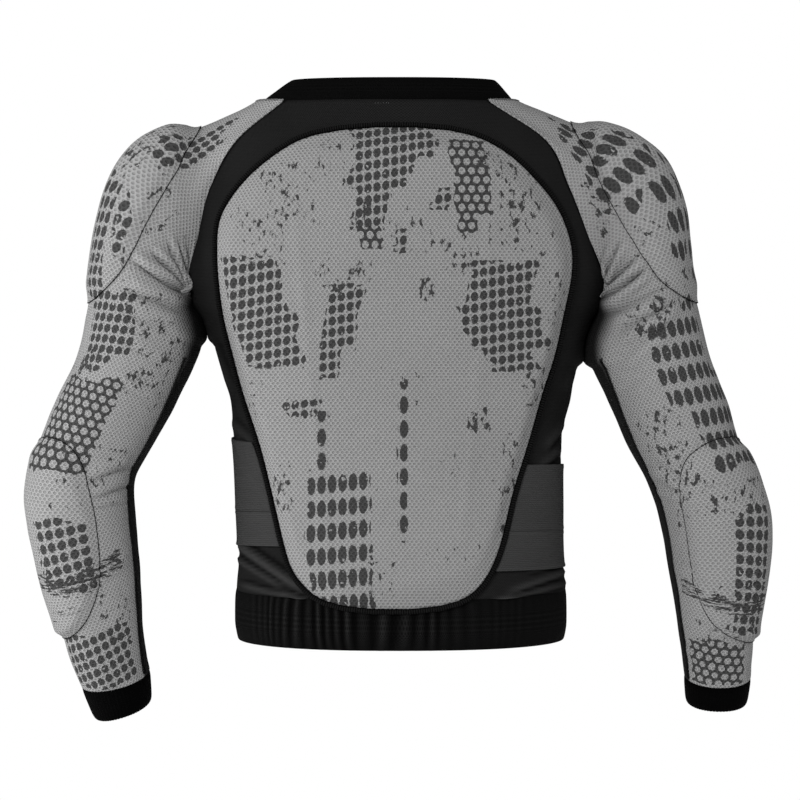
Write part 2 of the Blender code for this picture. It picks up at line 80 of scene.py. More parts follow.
# %% Body table
BODY = (
    # down, width, left, right, depth, back, front, seam_l, seam_r
    (0.000, NECK_WIDTH, 0.545, 0.455, NECK_DEPTH, 0.50, 0.50, 0.800, 0.735),
    (0.072, CHEST_WIDTH, 0.459, 0.415, CHEST_DEPTH, 0.40, 0.40, 0.837, 0.837),
    (0.158, CHEST_WIDTH, 0.495, 0.459, CHEST_DEPTH, 0.46, 0.48, 0.912, 0.884),
    (0.246, CHEST_WIDTH, 0.516, 0.489, CHEST_DEPTH, 0.49, 0.51, 0.935, 0.925),
    (0.318, CHEST_WIDTH, 0.529, 0.510, CHEST_DEPTH, 0.49, 0.51, 0.955, 0.957),
    (0.362, CHEST_WIDTH, 0.498, 0.488, CHEST_DEPTH, 0.485, 0.505, 1.0, 1.0),
    (0.415, CHEST_WIDTH, 0.459, 0.454, CHEST_DEPTH, 0.475, 0.49, 1.0, 1.0),
    (0.467, CHEST_WIDTH, 0.435, 0.432, CHEST_DEPTH, 0.46, 0.47, 1.0, 1.0),
    (0.542, CHEST_WIDTH, 0.408, 0.415, CHEST_DEPTH, 0.44, 0.45, 1.0, 1.0),
    (0.597, WAIST_WIDTH, 0.514, 0.508, WAIST_DEPTH, 0.50, 0.51, 1.0, 1.0),
    (0.664, WAIST_WIDTH, 0.505, 0.502, WAIST_DEPTH, 0.49, 0.50, 1.0, 1.0),
    (0.748, WAIST_WIDTH, 0.499, 0.502, WAIST_DEPTH, 0.49, 0.50, 1.0, 1.0),
    (0.803, WAIST_WIDTH, 0.495, 0.502, WAIST_DEPTH, 0.50, 0.505, 1.0, 1.0),
    (0.846, WAIST_WIDTH, 0.496, 0.505, WAIST_DEPTH, 0.51, 0.515, 1.0, 1.0),
    (0.893, HEM_WIDTH, 0.491, 0.503, HEM_DEPTH, 0.50, 0.50, 1.0, 1.0),
    (0.969, HEM_WIDTH, 0.494, 0.506, HEM_DEPTH, 0.50, 0.50, 1.0, 1.0),
    (1.000, HEM_WIDTH, 0.488, 0.500, HEM_DEPTH, 0.49, 0.49, 1.0, 1.0),
)
print("body rows:", len(BODY))

# %% Sleeve table
SLEEVES = {
    # out_x, out_z, in_x, in_z, deep, bend
    -1: (
        (0.532, 0.046, 0.578, 0.340, 0.59, 0.0),
        (0.618, 0.050, 0.576, 0.343, 0.66, 0.0),
        (0.699, 0.079, 0.573, 0.345, 0.70, 0.0),
        (0.757, 0.132, 0.569, 0.348, 0.725, 0.0),
        (0.789, 0.199, 0.562, 0.352, 0.735, 0.0),
        (0.811, 0.284, 0.549, 0.361, 0.735, 0.05),
        (0.829, 0.364, 0.534, 0.376, 0.73, 0.1),
        (0.856, 0.436, 0.535, 0.423, 0.71, 0.3),
        (0.908, 0.510, 0.586, 0.495, 0.69, 0.5),
        (0.957, 0.588, 0.647, 0.572, 0.675, 0.8),
        (0.981, 0.668, 0.709, 0.644, 0.655, 1.0),
        (0.971, 0.734, 0.709, 0.717, 0.63, 1.15),
        (0.941, 0.820, 0.698, 0.799, 0.585, 1.4),
        (0.902, 0.899, 0.694, 0.861, 0.53, 1.65),
        (0.877, 0.954, 0.687, 0.923, 0.45, 1.85),
        (0.848, 1.000, 0.674, 0.976, 0.36, 2.0),
    ),
    1: (
        (0.476, 0.041, 0.568, 0.340, 0.59, 0.0),
        (0.551, 0.046, 0.566, 0.343, 0.66, 0.0),
        (0.639, 0.069, 0.563, 0.345, 0.70, 0.0),
        (0.704, 0.112, 0.559, 0.348, 0.725, 0.0),
        (0.748, 0.187, 0.551, 0.352, 0.735, 0.0),
        (0.768, 0.284, 0.538, 0.361, 0.735, 0.05),
        (0.797, 0.364, 0.526, 0.376, 0.73, 0.1),
        (0.826, 0.436, 0.507, 0.424, 0.71, 0.3),
        (0.869, 0.510, 0.553, 0.497, 0.69, 0.5),
        (0.904, 0.582, 0.612, 0.581, 0.675, 0.8),
        (0.950, 0.651, 0.666, 0.649, 0.655, 1.0),
        (0.977, 0.720, 0.703, 0.717, 0.63, 1.15),
        (0.966, 0.823, 0.733, 0.820, 0.585, 1.4),
        (0.948, 0.899, 0.749, 0.888, 0.53, 1.65),
        (0.944, 0.948, 0.762, 0.936, 0.45, 1.85),
        (0.939, 0.986, 0.770, 0.984, 0.36, 2.0),
    ),
}
WRIST = len(SLEEVES[1])
print("sleeve sections:", WRIST)

# %% Panel table
OUTLINE = (
    # down, half width on the left, on the right
    (0.000, 0.060, 0.090), (0.008, 0.190, 0.175), (0.030, 0.268, 0.254),
    (0.063, 0.343, 0.329), (0.110, 0.419, 0.396), (0.156, 0.468, 0.449),
    (0.194, 0.494, 0.477), (0.250, 0.500, 0.500), (0.306, 0.497, 0.500),
    (0.385, 0.483, 0.477), (0.470, 0.454, 0.451), (0.548, 0.425, 0.416),
    (0.654, 0.378, 0.375), (0.756, 0.343, 0.332), (0.862, 0.309, 0.297),
    (0.920, 0.283, 0.265), (0.952, 0.245, 0.233), (0.982, 0.190, 0.170),
    (0.996, 0.110, 0.100),
)
OUTLINE_MIDDLE = -0.013
print("outline rows:", len(OUTLINE))

# %% [markdown]
# ## From the table to a surface
#
# Cloth runs smoothly between two measured places. A cubic curve through the rows does
# that. Straight lines between the rows would leave a crease at every row.


# %% Smooth tables
def smoothstep(value):
    """From 0 to 1 with a soft start and end."""
    value = min(max(value, 0.0), 1.0)
    return value * value * (3 - 2 * value)


def bell(value):
    """A soft hump: 1 in the middle, near 0 past 2."""
    return math.exp(-value * value)


def smooth_row(rows, at):
    """One row of a table at any place of its first column."""
    keys = [row[0] for row in rows]
    at = min(max(at, keys[0]), keys[-1])
    index = 0
    while index < len(keys) - 2 and at > keys[index + 1]:
        index += 1
    width = keys[index + 1] - keys[index]
    t = (at - keys[index]) / width
    before, after = max(index - 1, 0), min(index + 2, len(keys) - 1)
    values = []
    for column in range(1, len(rows[0])):
        start, end = rows[index][column], rows[index + 1][column]
        slope_a = (end - rows[before][column]) / (keys[index + 1] - keys[before])
        slope_b = (rows[after][column] - start) / (keys[after] - keys[index])
        values.append(
            start * (2 * t**3 - 3 * t**2 + 1)
            + end * (3 * t**2 - 2 * t**3)
            + width * (slope_a * (t**3 - 2 * t**2 + t) + slope_b * (t**3 - t**2))
        )
    return values


print("halfway down the panel:", smooth_row(OUTLINE, 0.5))

# %% [markdown]
# ## The body's surface
#
# A section of a worn body is rounder than a box and squarer than an ellipse. A power of
# the cosine and sine gives that form with one number. The neck is lower in front, and the
# hem hangs lowest behind.

# %% Body surface
BODY_METRES = [
    (r[0], r[1] * r[2], r[1] * r[3], r[4] * r[5], r[4] * r[6], r[7], r[8]) for r in BODY
]
body_rows = {}


def body_row(down):
    """The smooth table row at a height, kept once it is worked out."""
    key = round(down, 6)
    if key not in body_rows:
        body_rows[key] = smooth_row(BODY_METRES, down)
    return body_rows[key]


def body_point(side, down, turn):
    """On the body: turn 0 is the side, 90 the back, -90 the front."""
    left, right, back, front = body_row(down)[:4]
    angle = math.radians(turn)
    x = side * (right if side > 0 else left) * abs(math.cos(angle)) ** (2 / BODY_SQUARENESS)
    deep = abs(math.sin(angle)) ** (2 / BODY_SQUARENESS)
    fade = max(0.0, 1 - down / ARMPIT)
    lower = 0.0
    if turn < 0:
        lower = FRONT_NECK_DROP * fade * fade * (3 - 2 * fade) * math.sin(angle) ** 2
    y = front * deep if turn < 0 else -back * deep
    lift = HEM_LIFT * (1 - max(0.0, math.sin(angle))) * smoothstep((down - 0.80) / 0.13)
    return Vector((x, y, -down * BODY_LENGTH - lower + lift))


def seam_turn(side, down):
    """How far round the body the slanted seam lies, in degrees from the side."""
    if down >= ARMPIT:
        return 0.0
    share = min(1.0, body_row(down)[5 if side > 0 else 4])
    return math.degrees(math.acos(share ** (BODY_SQUARENESS / 2)))


def turn_at(side, down, across):
    """The turn at which the body is so many metres across from its middle."""
    half = body_row(down)[1 if side > 0 else 0]
    share = min(1.0, max(0.0, across / half))
    return math.degrees(math.acos(share ** (BODY_SQUARENESS / 2)))


def back_point(x, down):
    """On the back, so many metres across."""
    side = 1 if x >= 0 else -1
    return body_point(side, down, turn_at(side, down, abs(x)))


def steepness(surface, a, b, step_a, step_b, middle):
    """The way out of a surface, from two short steps on it."""
    along = surface(a + step_a, b) - surface(a - step_a, b)
    across = surface(a, b + step_b) - surface(a, b - step_b)
    way = along.cross(across).normalized()
    return way if way.dot(surface(a, b) - middle) > 0 else -way


def body_way(side, down, turn):
    """The way out of the body at a place."""
    down = min(max(down, 0.004), 0.996)
    turn = math.copysign(min(max(abs(turn), 1.5), 88.5), turn if turn else 1)
    middle = Vector((0, 0, -down * BODY_LENGTH))
    return steepness(lambda a, b: body_point(side, a, b), down, turn, 0.004, 1.0, middle)


print("chest:", round(body_point(1, 0.36, 0).x - body_point(-1, 0.36, 0).x, 3), "m across")

# %% [markdown]
# ## The sleeve's surface
#
# A raglan sleeve starts at a slanted seam that runs from the collar to the armpit. Its
# first ring follows that seam, and each further ring is an oval across the arm. A smooth
# curve from ring to ring gives the tube. Lofting circles would do it too, but here any
# place on the sleeve can be asked for, which the folds, pads and seams need.

# %% Sleeve rings
COLLAR_TURN = 45.0  # within these degrees of the top, the sleeve ends at the collar
WRIST_HANG = 0.012


def armhole_place(side, turn):
    """How far down the body and round it the slanted seam passes."""
    size = abs(turn)
    if size <= COLLAR_TURN:
        reach, down = seam_turn(side, 0.0) * size / COLLAR_TURN, 0.0
    else:
        down = ARMPIT * math.sin(math.pi / 2 * (size - COLLAR_TURN) / (180.0 - COLLAR_TURN))
        reach = seam_turn(side, down)
    return down, reach if turn >= 0 else -reach


def armhole_point(side, turn):
    down, reach = armhole_place(side, turn)
    return body_point(side, down, reach) + body_way(side, down, reach) * SEAM_GAP * 1.5


def oval(outer, inner, half_depth, forward, turn):
    """A place on the section between the sleeve's outer and inner line."""
    angle = math.radians(turn)
    cosine, sine = math.cos(angle), math.sin(angle)
    exponent = 2 / ARM_SQUARENESS
    middle = (outer + inner) / 2
    point = middle + (outer - middle) * math.copysign(abs(cosine) ** exponent, cosine)
    point.y = forward - half_depth * math.copysign(abs(sine) ** exponent, sine)
    return point


def lean(bend):
    """How far forward the arm is: 1 at the elbow, 2 at the wrist."""
    if bend <= 1:
        return ELBOW_FORWARD * bend
    return ELBOW_FORWARD + (WRIST_FORWARD - ELBOW_FORWARD) * (bend - 1)


def wrist_hang(place, turn):
    """The sleeve's end hangs lower behind than in front."""
    return WRIST_HANG * math.sin(math.radians(turn)) * smoothstep((place - 14.2) / 1.8)


ring_points = {}


def ring_point(side, number, turn):
    """On one of the measured sections, kept once it is worked out."""
    number = min(max(number, 0), WRIST)
    key = (side, number, round(turn, 4))
    if key not in ring_points:
        if number == 0:
            ring_points[key] = armhole_point(side, turn)
        else:
            out_x, out_z, in_x, in_z, deep, bend = SLEEVES[side][number - 1]
            outer = Vector((side * out_x * SLEEVE_REACH, 0, -out_z * SLEEVE_DROP))
            inner = Vector((side * in_x * SLEEVE_REACH, 0, -in_z * SLEEVE_DROP))
            ring_points[key] = oval(outer, inner, deep * SHOULDER_DEPTH / 2, lean(bend), turn)
    return ring_points[key]


def sleeve_point(side, place, turn):
    """On the sleeve: place 0 is the armhole and 16 the wrist."""
    turn = (turn + 180.0) % 360.0 - 180.0
    place = min(max(place, 0.0), float(WRIST))
    index = min(int(place), WRIST - 1)
    t = place - index
    p0, p1, p2, p3 = (ring_point(side, index + step, turn) for step in (-1, 0, 1, 2))
    point = 0.5 * (
        2 * p1 + (p2 - p0) * t + (2 * p0 - 5 * p1 + 4 * p2 - p3) * t * t
        + (3 * p1 - p0 - 3 * p2 + p3) * t**3
    )
    point.z -= wrist_hang(place, turn)
    return point


def sleeve_way(side, place, turn):
    """The way out of the sleeve at a place."""
    place = min(max(place, 0.05), WRIST - 0.05)
    middle = (sleeve_point(side, place, 0) + sleeve_point(side, place, 180)) / 2
    return steepness(lambda a, b: sleeve_point(side, a, b), place, turn, 0.04, 2.0, middle)


print("left elbow reaches", round(sleeve_point(-1, 11, 0).x, 3), "m")

# %% [markdown]
# ## A bolt of cloth
#
# Every panel starts as a flat grid, like cloth on a table, and is then laid on the body.
# The grid's own map goes along, in metres, so the knit keeps its real size. A folds
# function pushes the cloth out or in after it is laid. Sculpting by hand would look
# similar, but a function gives the same folds each time. A wall makes it solid cloth.


# %% From a bmesh to a piece
def made(name, bm):
    """Ends a bmesh as an object at the origin."""
    mesh = bpy.data.meshes.new(name)
    bm.to_mesh(mesh)
    bm.free()
    piece = bpy.data.objects.new(name, mesh)
    bpy.context.scene.collection.objects.link(piece)
    print(name, len(mesh.polygons), "faces")
    return piece


def finish_piece(piece, material, slot, *replaced):
    """Its material, its place on the jacket, and the plain solids it replaces. The slot is not used."""
    piece.data.materials.clear()
    piece.data.materials.append(material)
    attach(piece, "root")
    if replaced:
        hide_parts(*replaced)


# %% Cloth helper
def lay_cloth(name, columns, rows, point, folds=None, chart=None, closed=False, out=None,
              paint=None, words=("crest",), wall=0.0015):
    """A grid laid by point(s, t). folds(s, t) is in metres, paint(s, t) gives one share a word."""
    bm = bmesh.new()
    cloth_map = bm.loops.layers.uv.new("cloth")
    layers = [bm.verts.layers.float.new(word) for word in words] if paint else []
    bmesh.ops.create_grid(bm, x_segments=columns, y_segments=rows, size=0.5)
    shares = {v: (v.co.x + 0.5, v.co.y + 0.5) for v in bm.verts}
    places = {v: chart(*share) for v, share in shares.items()}
    for v, share in shares.items():
        v.co = point(*share)
        for layer, amount in zip(layers, paint(*share) if paint else ()):
            v[layer] = amount
    for face in bm.faces:
        face.smooth = True
        for loop in face.loops:
            loop[cloth_map].uv = places[loop.vert]
    if closed:
        bmesh.ops.remove_doubles(bm, verts=bm.verts, dist=0.00005)
    bm.normal_update()
    probe = min(bm.verts, key=lambda v: abs(shares[v][0] - 0.5) + abs(shares[v][1] - 0.5))
    if probe.normal.dot(out) < 0:
        bmesh.ops.reverse_faces(bm, faces=bm.faces)
        bm.normal_update()
    if folds:
        moves = [(v, v.normal * folds(*shares[v])) for v in bm.verts]
        for v, move in moves:
            v.co += move
    piece = made(name, bm)
    if wall:
        shell = piece.modifiers.new("wall", "SOLIDIFY")
        shell.thickness = abs(wall)
        shell.offset = 1.0 if wall > 0 else -1.0
    return piece


# %% [markdown]
# ## Knitted mesh with a dotted print
#
# The grey cloth is a knitted mesh: a honeycomb of small dimples about five millimetres
# apart. A print of dots, long ovals, reversed dots, flecks and streaks lies on it. A dot
# grid is cheap to draw in nodes: repeat the cloth's map, measure the distance to the
# nearest centre, and compare it with a radius. Each cell has a chance of its own, so a
# patch thins out dot by dot at its edge, as a worn print does.


# %% Node helpers
class Nodes:
    """Short names for the nodes of one material."""

    def __init__(self, name):
        self.material = bpy.data.materials.new(name)
        self.material.use_nodes = True
        self.tree = self.material.node_tree
        self.shader = self.tree.nodes["Principled BSDF"]

    def add(self, kind, **settings):
        node = self.tree.nodes.new(kind)
        for key, value in settings.items():
            setattr(node, key, value)
        return node

    def link(self, source, target):
        if isinstance(source, (int, float, tuple)):
            target.default_value = source
        else:
            self.tree.links.new(source, target)

    def math(self, operation, a, b=None, c=None):
        node = self.add("ShaderNodeMath", operation=operation)
        for value, socket in zip((a, b, c), node.inputs):
            if value is not None:
                self.link(value, socket)
        return node.outputs[0]

    def vector(self, operation, a, b=None):
        node = self.add("ShaderNodeVectorMath", operation=operation)
        self.link(a, node.inputs[0])
        if b is not None:
            self.link(b, node.inputs[1])
        return node.outputs["Vector"]

    def scaled(self, colour, share):
        """A colour times a share."""
        scaled = self.vector("SCALE", colour)
        self.link(share, scaled.node.inputs["Scale"])
        return scaled

    def step(self, value, low, high):
        """Softly from 0 at low to 1 at high."""
        node = self.add("ShaderNodeMapRange", interpolation_type="SMOOTHSTEP")
        for socket, item in zip(node.inputs, (value, low, high)):
            self.link(item, socket)
        return node.outputs[0]

    def mix(self, share, a, b):
        node = self.add("ShaderNodeMix", data_type="RGBA")
        self.link(share, node.inputs[0])
        self.link(a, node.inputs[6])
        self.link(b, node.inputs[7])
        return node.outputs[2]

    def share(self, name):
        return self.add("ShaderNodeAttribute", attribute_name=name).outputs["Fac"]

    def cloth(self):
        return self.add("ShaderNodeUVMap", uv_map="cloth").outputs[0]

    def place(self):
        return self.add("ShaderNodeTexCoord").outputs["Object"]

    def noise(self, where, scale, detail=2.0, rough=0.5):
        node = self.add("ShaderNodeTexNoise")
        self.link(where, node.inputs["Vector"])
        node.inputs["Scale"].default_value = scale
        node.inputs["Detail"].default_value = detail
        node.inputs["Roughness"].default_value = rough
        return node.outputs["Fac"]

    def cells(self, where, across, along, shear=0.0, stagger=0.0):
        """Distance to each cell's middle, in shares of its width, and its own random number."""
        split = self.add("ShaderNodeSeparateXYZ")
        self.link(where, split.inputs[0])
        level = self.math("MULTIPLY_ADD", split.outputs[0], shear, split.outputs[1])
        v = self.math("MULTIPLY", level, 1 / along)
        row = self.math("FLOOR", v)
        u = self.math("MULTIPLY_ADD", row, stagger, self.math("MULTIPLY", split.outputs[0], 1 / across))
        du = self.math("SUBTRACT", self.math("FRACT", u), 0.5)
        dv = self.math("MULTIPLY", self.math("SUBTRACT", self.math("FRACT", v), 0.5), along / across)
        cell = self.add("ShaderNodeCombineXYZ")
        self.link(self.math("FLOOR", u), cell.inputs[0])
        self.link(row, cell.inputs[1])
        chance = self.add("ShaderNodeTexWhiteNoise", noise_dimensions="2D")
        self.link(cell.outputs[0], chance.inputs["Vector"])
        return du, dv, chance.outputs["Value"]

    def radius(self, du, dv, flatten=1.0):
        squares = self.math("MULTIPLY", du, du)
        tall = self.math("MULTIPLY", dv, flatten)
        return self.math("SQRT", self.math("MULTIPLY_ADD", tall, tall, squares))

    def bump(self, height, distance, strength=1.0, before=None):
        node = self.add("ShaderNodeBump")
        node.inputs["Strength"].default_value = strength
        node.inputs["Distance"].default_value = distance
        self.link(height, node.inputs["Height"])
        if before is not None:
            self.link(before, node.inputs["Normal"])
        return node.outputs[0]


print("node helpers:", [word for word in vars(Nodes) if not word.startswith("_")])

# %% Grey mesh
CELLS = {
    # motif: across, down, shear, stagger
    "dots": (0.0101, 0.0120, -0.16, 0.0),
    "ovals": (0.0116, 0.0262, -0.10, 0.0),
    "holes": (0.0110, 0.0096, 0.0, 0.5),
}


def grey_mesh_material(name, light, pitch):
    """Knitted mesh of a light, with dimples a pitch apart and the print on it."""
    n = Nodes(name)
    where = n.cloth()
    fray = n.math("MULTIPLY_ADD", n.noise(where, 520.0, 3.0), 0.22, -0.11)
    bite = n.noise(where, 150.0, 2.0)

    def printed_where(share, chance, crumble):
        """Each cell is inked or left, by its own chance; bites crumble it."""
        kept = n.step(n.math("SUBTRACT", n.share(share), n.math("MULTIPLY_ADD", chance, 0.42, 0.30)),
                      -0.01, 0.01)
        whole = n.step(n.math("MULTIPLY_ADD", n.share(share), 0.30, bite), crumble, crumble + 0.03)
        return n.math("MULTIPLY", kept, whole)

    du, dv, chance = n.cells(where, *CELLS["dots"])
    dot = n.math("ADD", n.radius(du, dv, 0.86), fray)
    dots = n.math("MULTIPLY", n.step(dot, 0.44, 0.40), printed_where("dots", chance, 0.60))
    du, dv, chance = n.cells(where, *CELLS["ovals"])
    oval = n.math("ADD", n.radius(du, dv, 0.50), fray)
    ovals = n.math("MULTIPLY", n.step(oval, 0.45, 0.40), printed_where("ovals", chance, 0.60))
    du, dv, _ = n.cells(where, *CELLS["holes"])
    hole = n.math("ADD", n.radius(du, dv), fray)
    solid = n.step(n.math("MULTIPLY_ADD", bite, 0.7, n.share("holes")), 0.80, 0.84)
    holes = n.math("MULTIPLY", solid, n.step(hole, 0.33, 0.38))
    splinter = n.noise(n.vector("MULTIPLY", where, (1.3, 0.75, 1.0)), 130.0, 4.5, 0.66)
    clump = n.noise(where, 42.0, 2.0)
    fleck_edge = n.math("MULTIPLY_ADD", n.share("flecks"), -0.27, 0.965)
    fleck_edge = n.math("MULTIPLY_ADD", clump, -0.32, fleck_edge)
    flecks = n.step(n.math("SUBTRACT", splinter, fleck_edge), 0.0, 0.012)
    brushed = n.noise(n.vector("MULTIPLY", where, (0.30, 1.8, 1.0)), 190.0, 3.0, 0.6)
    streak_edge = n.math("MULTIPLY_ADD", n.share("streaks"), -0.37, 0.86)
    streaks = n.step(n.math("SUBTRACT", brushed, streak_edge), 0.0, 0.02)
    flecks = n.math("MAXIMUM", flecks, streaks)
    ink = n.math("MAXIMUM", n.math("MAXIMUM", dots, ovals), n.math("MAXIMUM", holes, flecks))
    du, dv, _ = n.cells(where, pitch, pitch * 0.62, 0.0, 0.5)
    dimple_relief_and_shade = n.step(n.radius(du, dv, 1.35), 0.16, 0.40)
    yarn = n.noise(where, 1500.0, 2.0)
    cloud = n.noise(where, 9.0, 3.0)
    # The dimples' middles are painted darker: painted shade in the mesh's hollows.
    bright = n.math("MULTIPLY_ADD", dimple_relief_and_shade, 0.26, 0.77)
    bright = n.math("MULTIPLY", bright, n.math("MULTIPLY_ADD", cloud, 0.16, 0.92))
    bright = n.math("MULTIPLY", bright, n.math("MULTIPLY_ADD", yarn, 0.30, 0.85))
    bright = n.math("MULTIPLY", bright, n.math("MULTIPLY_ADD", ink, -0.82, 1.0))
    # The dark share: black cloth of the inner strip, and painted shade at the upper arm and armpit.
    bright = n.math("MULTIPLY", bright, n.math("MULTIPLY_ADD", n.share("dark"), -0.97, 1.0))
    n.link(n.scaled((light, light, light), bright), n.shader.inputs["Base Color"])
    height = n.math("MULTIPLY_ADD", yarn, 0.18, n.math("MULTIPLY", dimple_relief_and_shade, 0.9))
    n.link(n.bump(height, 0.0017, 0.9), n.shader.inputs["Normal"])
    n.shader.inputs["Roughness"].default_value = 0.88
    n.shader.inputs["Specular IOR Level"].default_value = 0.07
    return n.material


back_mesh = grey_mesh_material("grey back mesh", 0.236, 0.0051)
sleeve_mesh = grey_mesh_material("grey sleeve mesh", 0.262, 0.0048)
print("mesh nodes:", len(back_mesh.node_tree.nodes))

# %% [markdown]
# ## Dark cloths
#
# The rest is black or nearly so: fine knit, elastic, tape and thread. One recipe serves
# them all, with a small knit whose hollows are painted darker as shade, ribs where the
# cloth has them, and a painted highlight on a fold's ridge with painted shade in its
# valley. Black cloth in a picture is told apart by such small differences.


# %% Dark cloths
def dark_cloth_material(name, light, pitch, ribs=0.0, slack=0.0, rib_shade=0.14):
    """ribs runs lines along it, slack adds soft crumple, a painted highlight lightens fold ridges and
    painted shade darkens their valleys.
    """
    n = Nodes(name)
    where = n.cloth()
    du, dv, _ = n.cells(where, pitch, pitch * 0.8, 0.0, 0.5)
    knit = n.step(n.radius(du, dv, 1.1), 0.15, 0.45)
    yarn = n.noise(where, 1800.0, 2.0)
    cloud = n.noise(where, 14.0, 3.0)
    # The knit's hollows are painted darker: painted shade between the loops.
    bright = n.math("MULTIPLY_ADD", knit, 0.70, 0.50)
    bright = n.math("MULTIPLY", bright, n.math("MULTIPLY_ADD", cloud, 0.5, 0.75))
    bright = n.math("MULTIPLY", bright, n.math("MULTIPLY_ADD", yarn, 0.5, 0.75))
    # Painted light from the folds: a painted highlight on ridges, painted shade in valleys.
    crest = n.math("MULTIPLY_ADD", n.share("crest"), 2.0, 1.0)
    bright = n.math("MULTIPLY", bright, n.math("MAXIMUM", crest, 0.1))
    height = n.math("MULTIPLY_ADD", yarn, 0.25, knit)
    if ribs:
        split = n.add("ShaderNodeSeparateXYZ")
        n.link(where, split.inputs[0])
        wave = n.math("SINE", n.math("MULTIPLY", split.outputs[1], 2 * math.pi / ribs))
        height = n.math("MULTIPLY_ADD", wave, 0.9, height)
        bright = n.math("MULTIPLY", bright, n.math("MULTIPLY_ADD", wave, rib_shade, 1 - rib_shade))
    n.link(n.scaled((light, light, light), bright), n.shader.inputs["Base Color"])
    normal = n.bump(height, 0.0006, 0.8)
    if slack:
        normal = n.bump(n.noise(where, 26.0, 3.0, 0.55), slack, 0.6, normal)
    n.link(normal, n.shader.inputs["Normal"])
    n.shader.inputs["Roughness"].default_value = 0.80
    n.shader.inputs["Specular IOR Level"].default_value = 0.03
    return n.material


black_knit = dark_cloth_material("black fine knit", 0.0100, 0.0019)
hem_cloth = dark_cloth_material("black hem elastic", 0.0030, 0.0017, slack=0.0012)
collar_cloth = dark_cloth_material("black collar cloth", 0.0015, 0.0014)
cuff_cloth = dark_cloth_material("black ribbed cuff", 0.0003, 0.0012)
belt_elastic = dark_cloth_material("dark belt elastic", 0.055, 0.0012, ribs=0.0021)
piping_cloth = dark_cloth_material("black piping tape", 0.0110, 0.0011, ribs=0.0026, rib_shade=0.5)
# Lighter than the black seam thread: the extra lightness is a painted highlight on the overlock's ridges.
overlock = dark_cloth_material("black overlock thread", 0.0200, 0.0011)
thread = dark_cloth_material("black seam thread", 0.0040, 0.0011)
pale_thread = dark_cloth_material("pale seam thread", 0.20, 0.0011)
zip_tape = dark_cloth_material("black zip tape", 0.012, 0.0014, ribs=0.0024)
print("materials:", len(bpy.data.materials))

# %% [markdown]
# ## The print's own layout
#
# The patches are charted as soft ovals: where, how big, which motif, how strong.
# Each is a short row. On the back they are in metres across and down from the collar,
# on a sleeve in sections along the arm and degrees round it. An image would do the same,
# but a chart can be read and changed. Each motif's share is painted on the cloth as an
# attribute of its name, and the material reads it there.

# %% Print on the back
PRINTS = ("dots", "ovals", "holes", "flecks", "streaks", "dark")
BACK_PRINT = (
    # across, down, half across, half down, lean, motif, strength
    (-0.004, 0.050, 0.044, 0.018, 0.1, "dots", 1.0),
    (-0.016, 0.076, 0.034, 0.026, -0.25, "dots", 1.0),
    (-0.028, 0.112, 0.018, 0.034, -0.3, "dots", 1.0),
    (-0.030, 0.152, 0.012, 0.012, 0.2, "holes", 1.0),
    (0.076, 0.088, 0.019, 0.040, 0.25, "holes", 1.0),
    (0.072, 0.130, 0.010, 0.018, 0.1, "holes", 0.95),
    (-0.150, 0.212, 0.030, 0.040, 0.35, "dots", 1.0),
    (-0.134, 0.260, 0.030, 0.030, 0.15, "dots", 1.0),
    (-0.060, 0.234, 0.018, 0.034, -0.35, "dots", 1.0),
    (-0.072, 0.278, 0.011, 0.024, -0.3, "dots", 1.0),
    (0.106, 0.208, 0.034, 0.032, -0.15, "dots", 1.0),
    (0.108, 0.246, 0.042, 0.024, 0.2, "dots", 1.0),
    (0.114, 0.276, 0.024, 0.018, 0.3, "dots", 1.0),
    (-0.100, 0.334, 0.020, 0.011, 0.0, "dots", 0.8),
    (-0.062, 0.480, 0.034, 0.078, 0.05, "ovals", 1.0),
    (0.004, 0.392, 0.006, 0.088, 0.0, "ovals", 1.0),
    (-0.080, 0.372, 0.006, 0.034, 0.0, "ovals", 1.0),
    (0.046, 0.112, 0.009, 0.012, -0.5, "dots", 0.95),
    (0.002, 0.156, 0.007, 0.012, -0.4, "dots", 0.95),
    (-0.118, 0.106, 0.034, 0.040, 0.3, "flecks", 0.85),
    (-0.146, 0.152, 0.030, 0.034, 0.0, "flecks", 0.85),
    (0.122, 0.122, 0.032, 0.048, -0.2, "flecks", 0.85),
    (0.118, 0.075, 0.024, 0.022, 0.0, "flecks", 0.75),
    (0.016, 0.150, 0.030, 0.030, 0.4, "flecks", 0.75),
    (-0.058, 0.192, 0.032, 0.020, 0.0, "flecks", 0.85),
    (0.066, 0.168, 0.020, 0.022, 0.0, "flecks", 0.85),
    (-0.072, 0.066, 0.018, 0.020, 0.0, "flecks", 0.8),
    (0.010, 0.312, 0.014, 0.030, 0.3, "flecks", 0.75),
    (0.082, 0.346, 0.014, 0.016, 0.0, "flecks", 1.0),
    (0.056, 0.494, 0.036, 0.014, 0.0, "flecks", 0.75),
    (0.070, 0.400, 0.034, 0.016, 0.2, "flecks", 0.65),
    (0.118, 0.420, 0.014, 0.066, -0.1, "flecks", 0.85),
    (0.142, 0.306, 0.016, 0.026, 0.0, "flecks", 0.85),
    (-0.150, 0.330, 0.012, 0.034, 0.2, "flecks", 0.8),
    (-0.122, 0.420, 0.012, 0.032, 0.2, "flecks", 0.9),
    (0.160, 0.190, 0.022, 0.060, 0.0, "flecks", 0.7),
    (-0.016, 0.520, 0.020, 0.020, 0.0, "flecks", 0.85),
    (-0.036, 0.126, 0.012, 0.016, 0.2, "flecks", 1.0),
    (0.092, 0.072, 0.012, 0.014, 0.0, "flecks", 1.0),
    (0.030, 0.206, 0.010, 0.014, 0.0, "flecks", 1.0),
    (0.000, 0.200, 0.170, 0.200, 0.0, "flecks", 0.42),
    (0.000, 0.440, 0.120, 0.110, 0.0, "flecks", 0.38),
)
print("patches on the back:", len(BACK_PRINT))

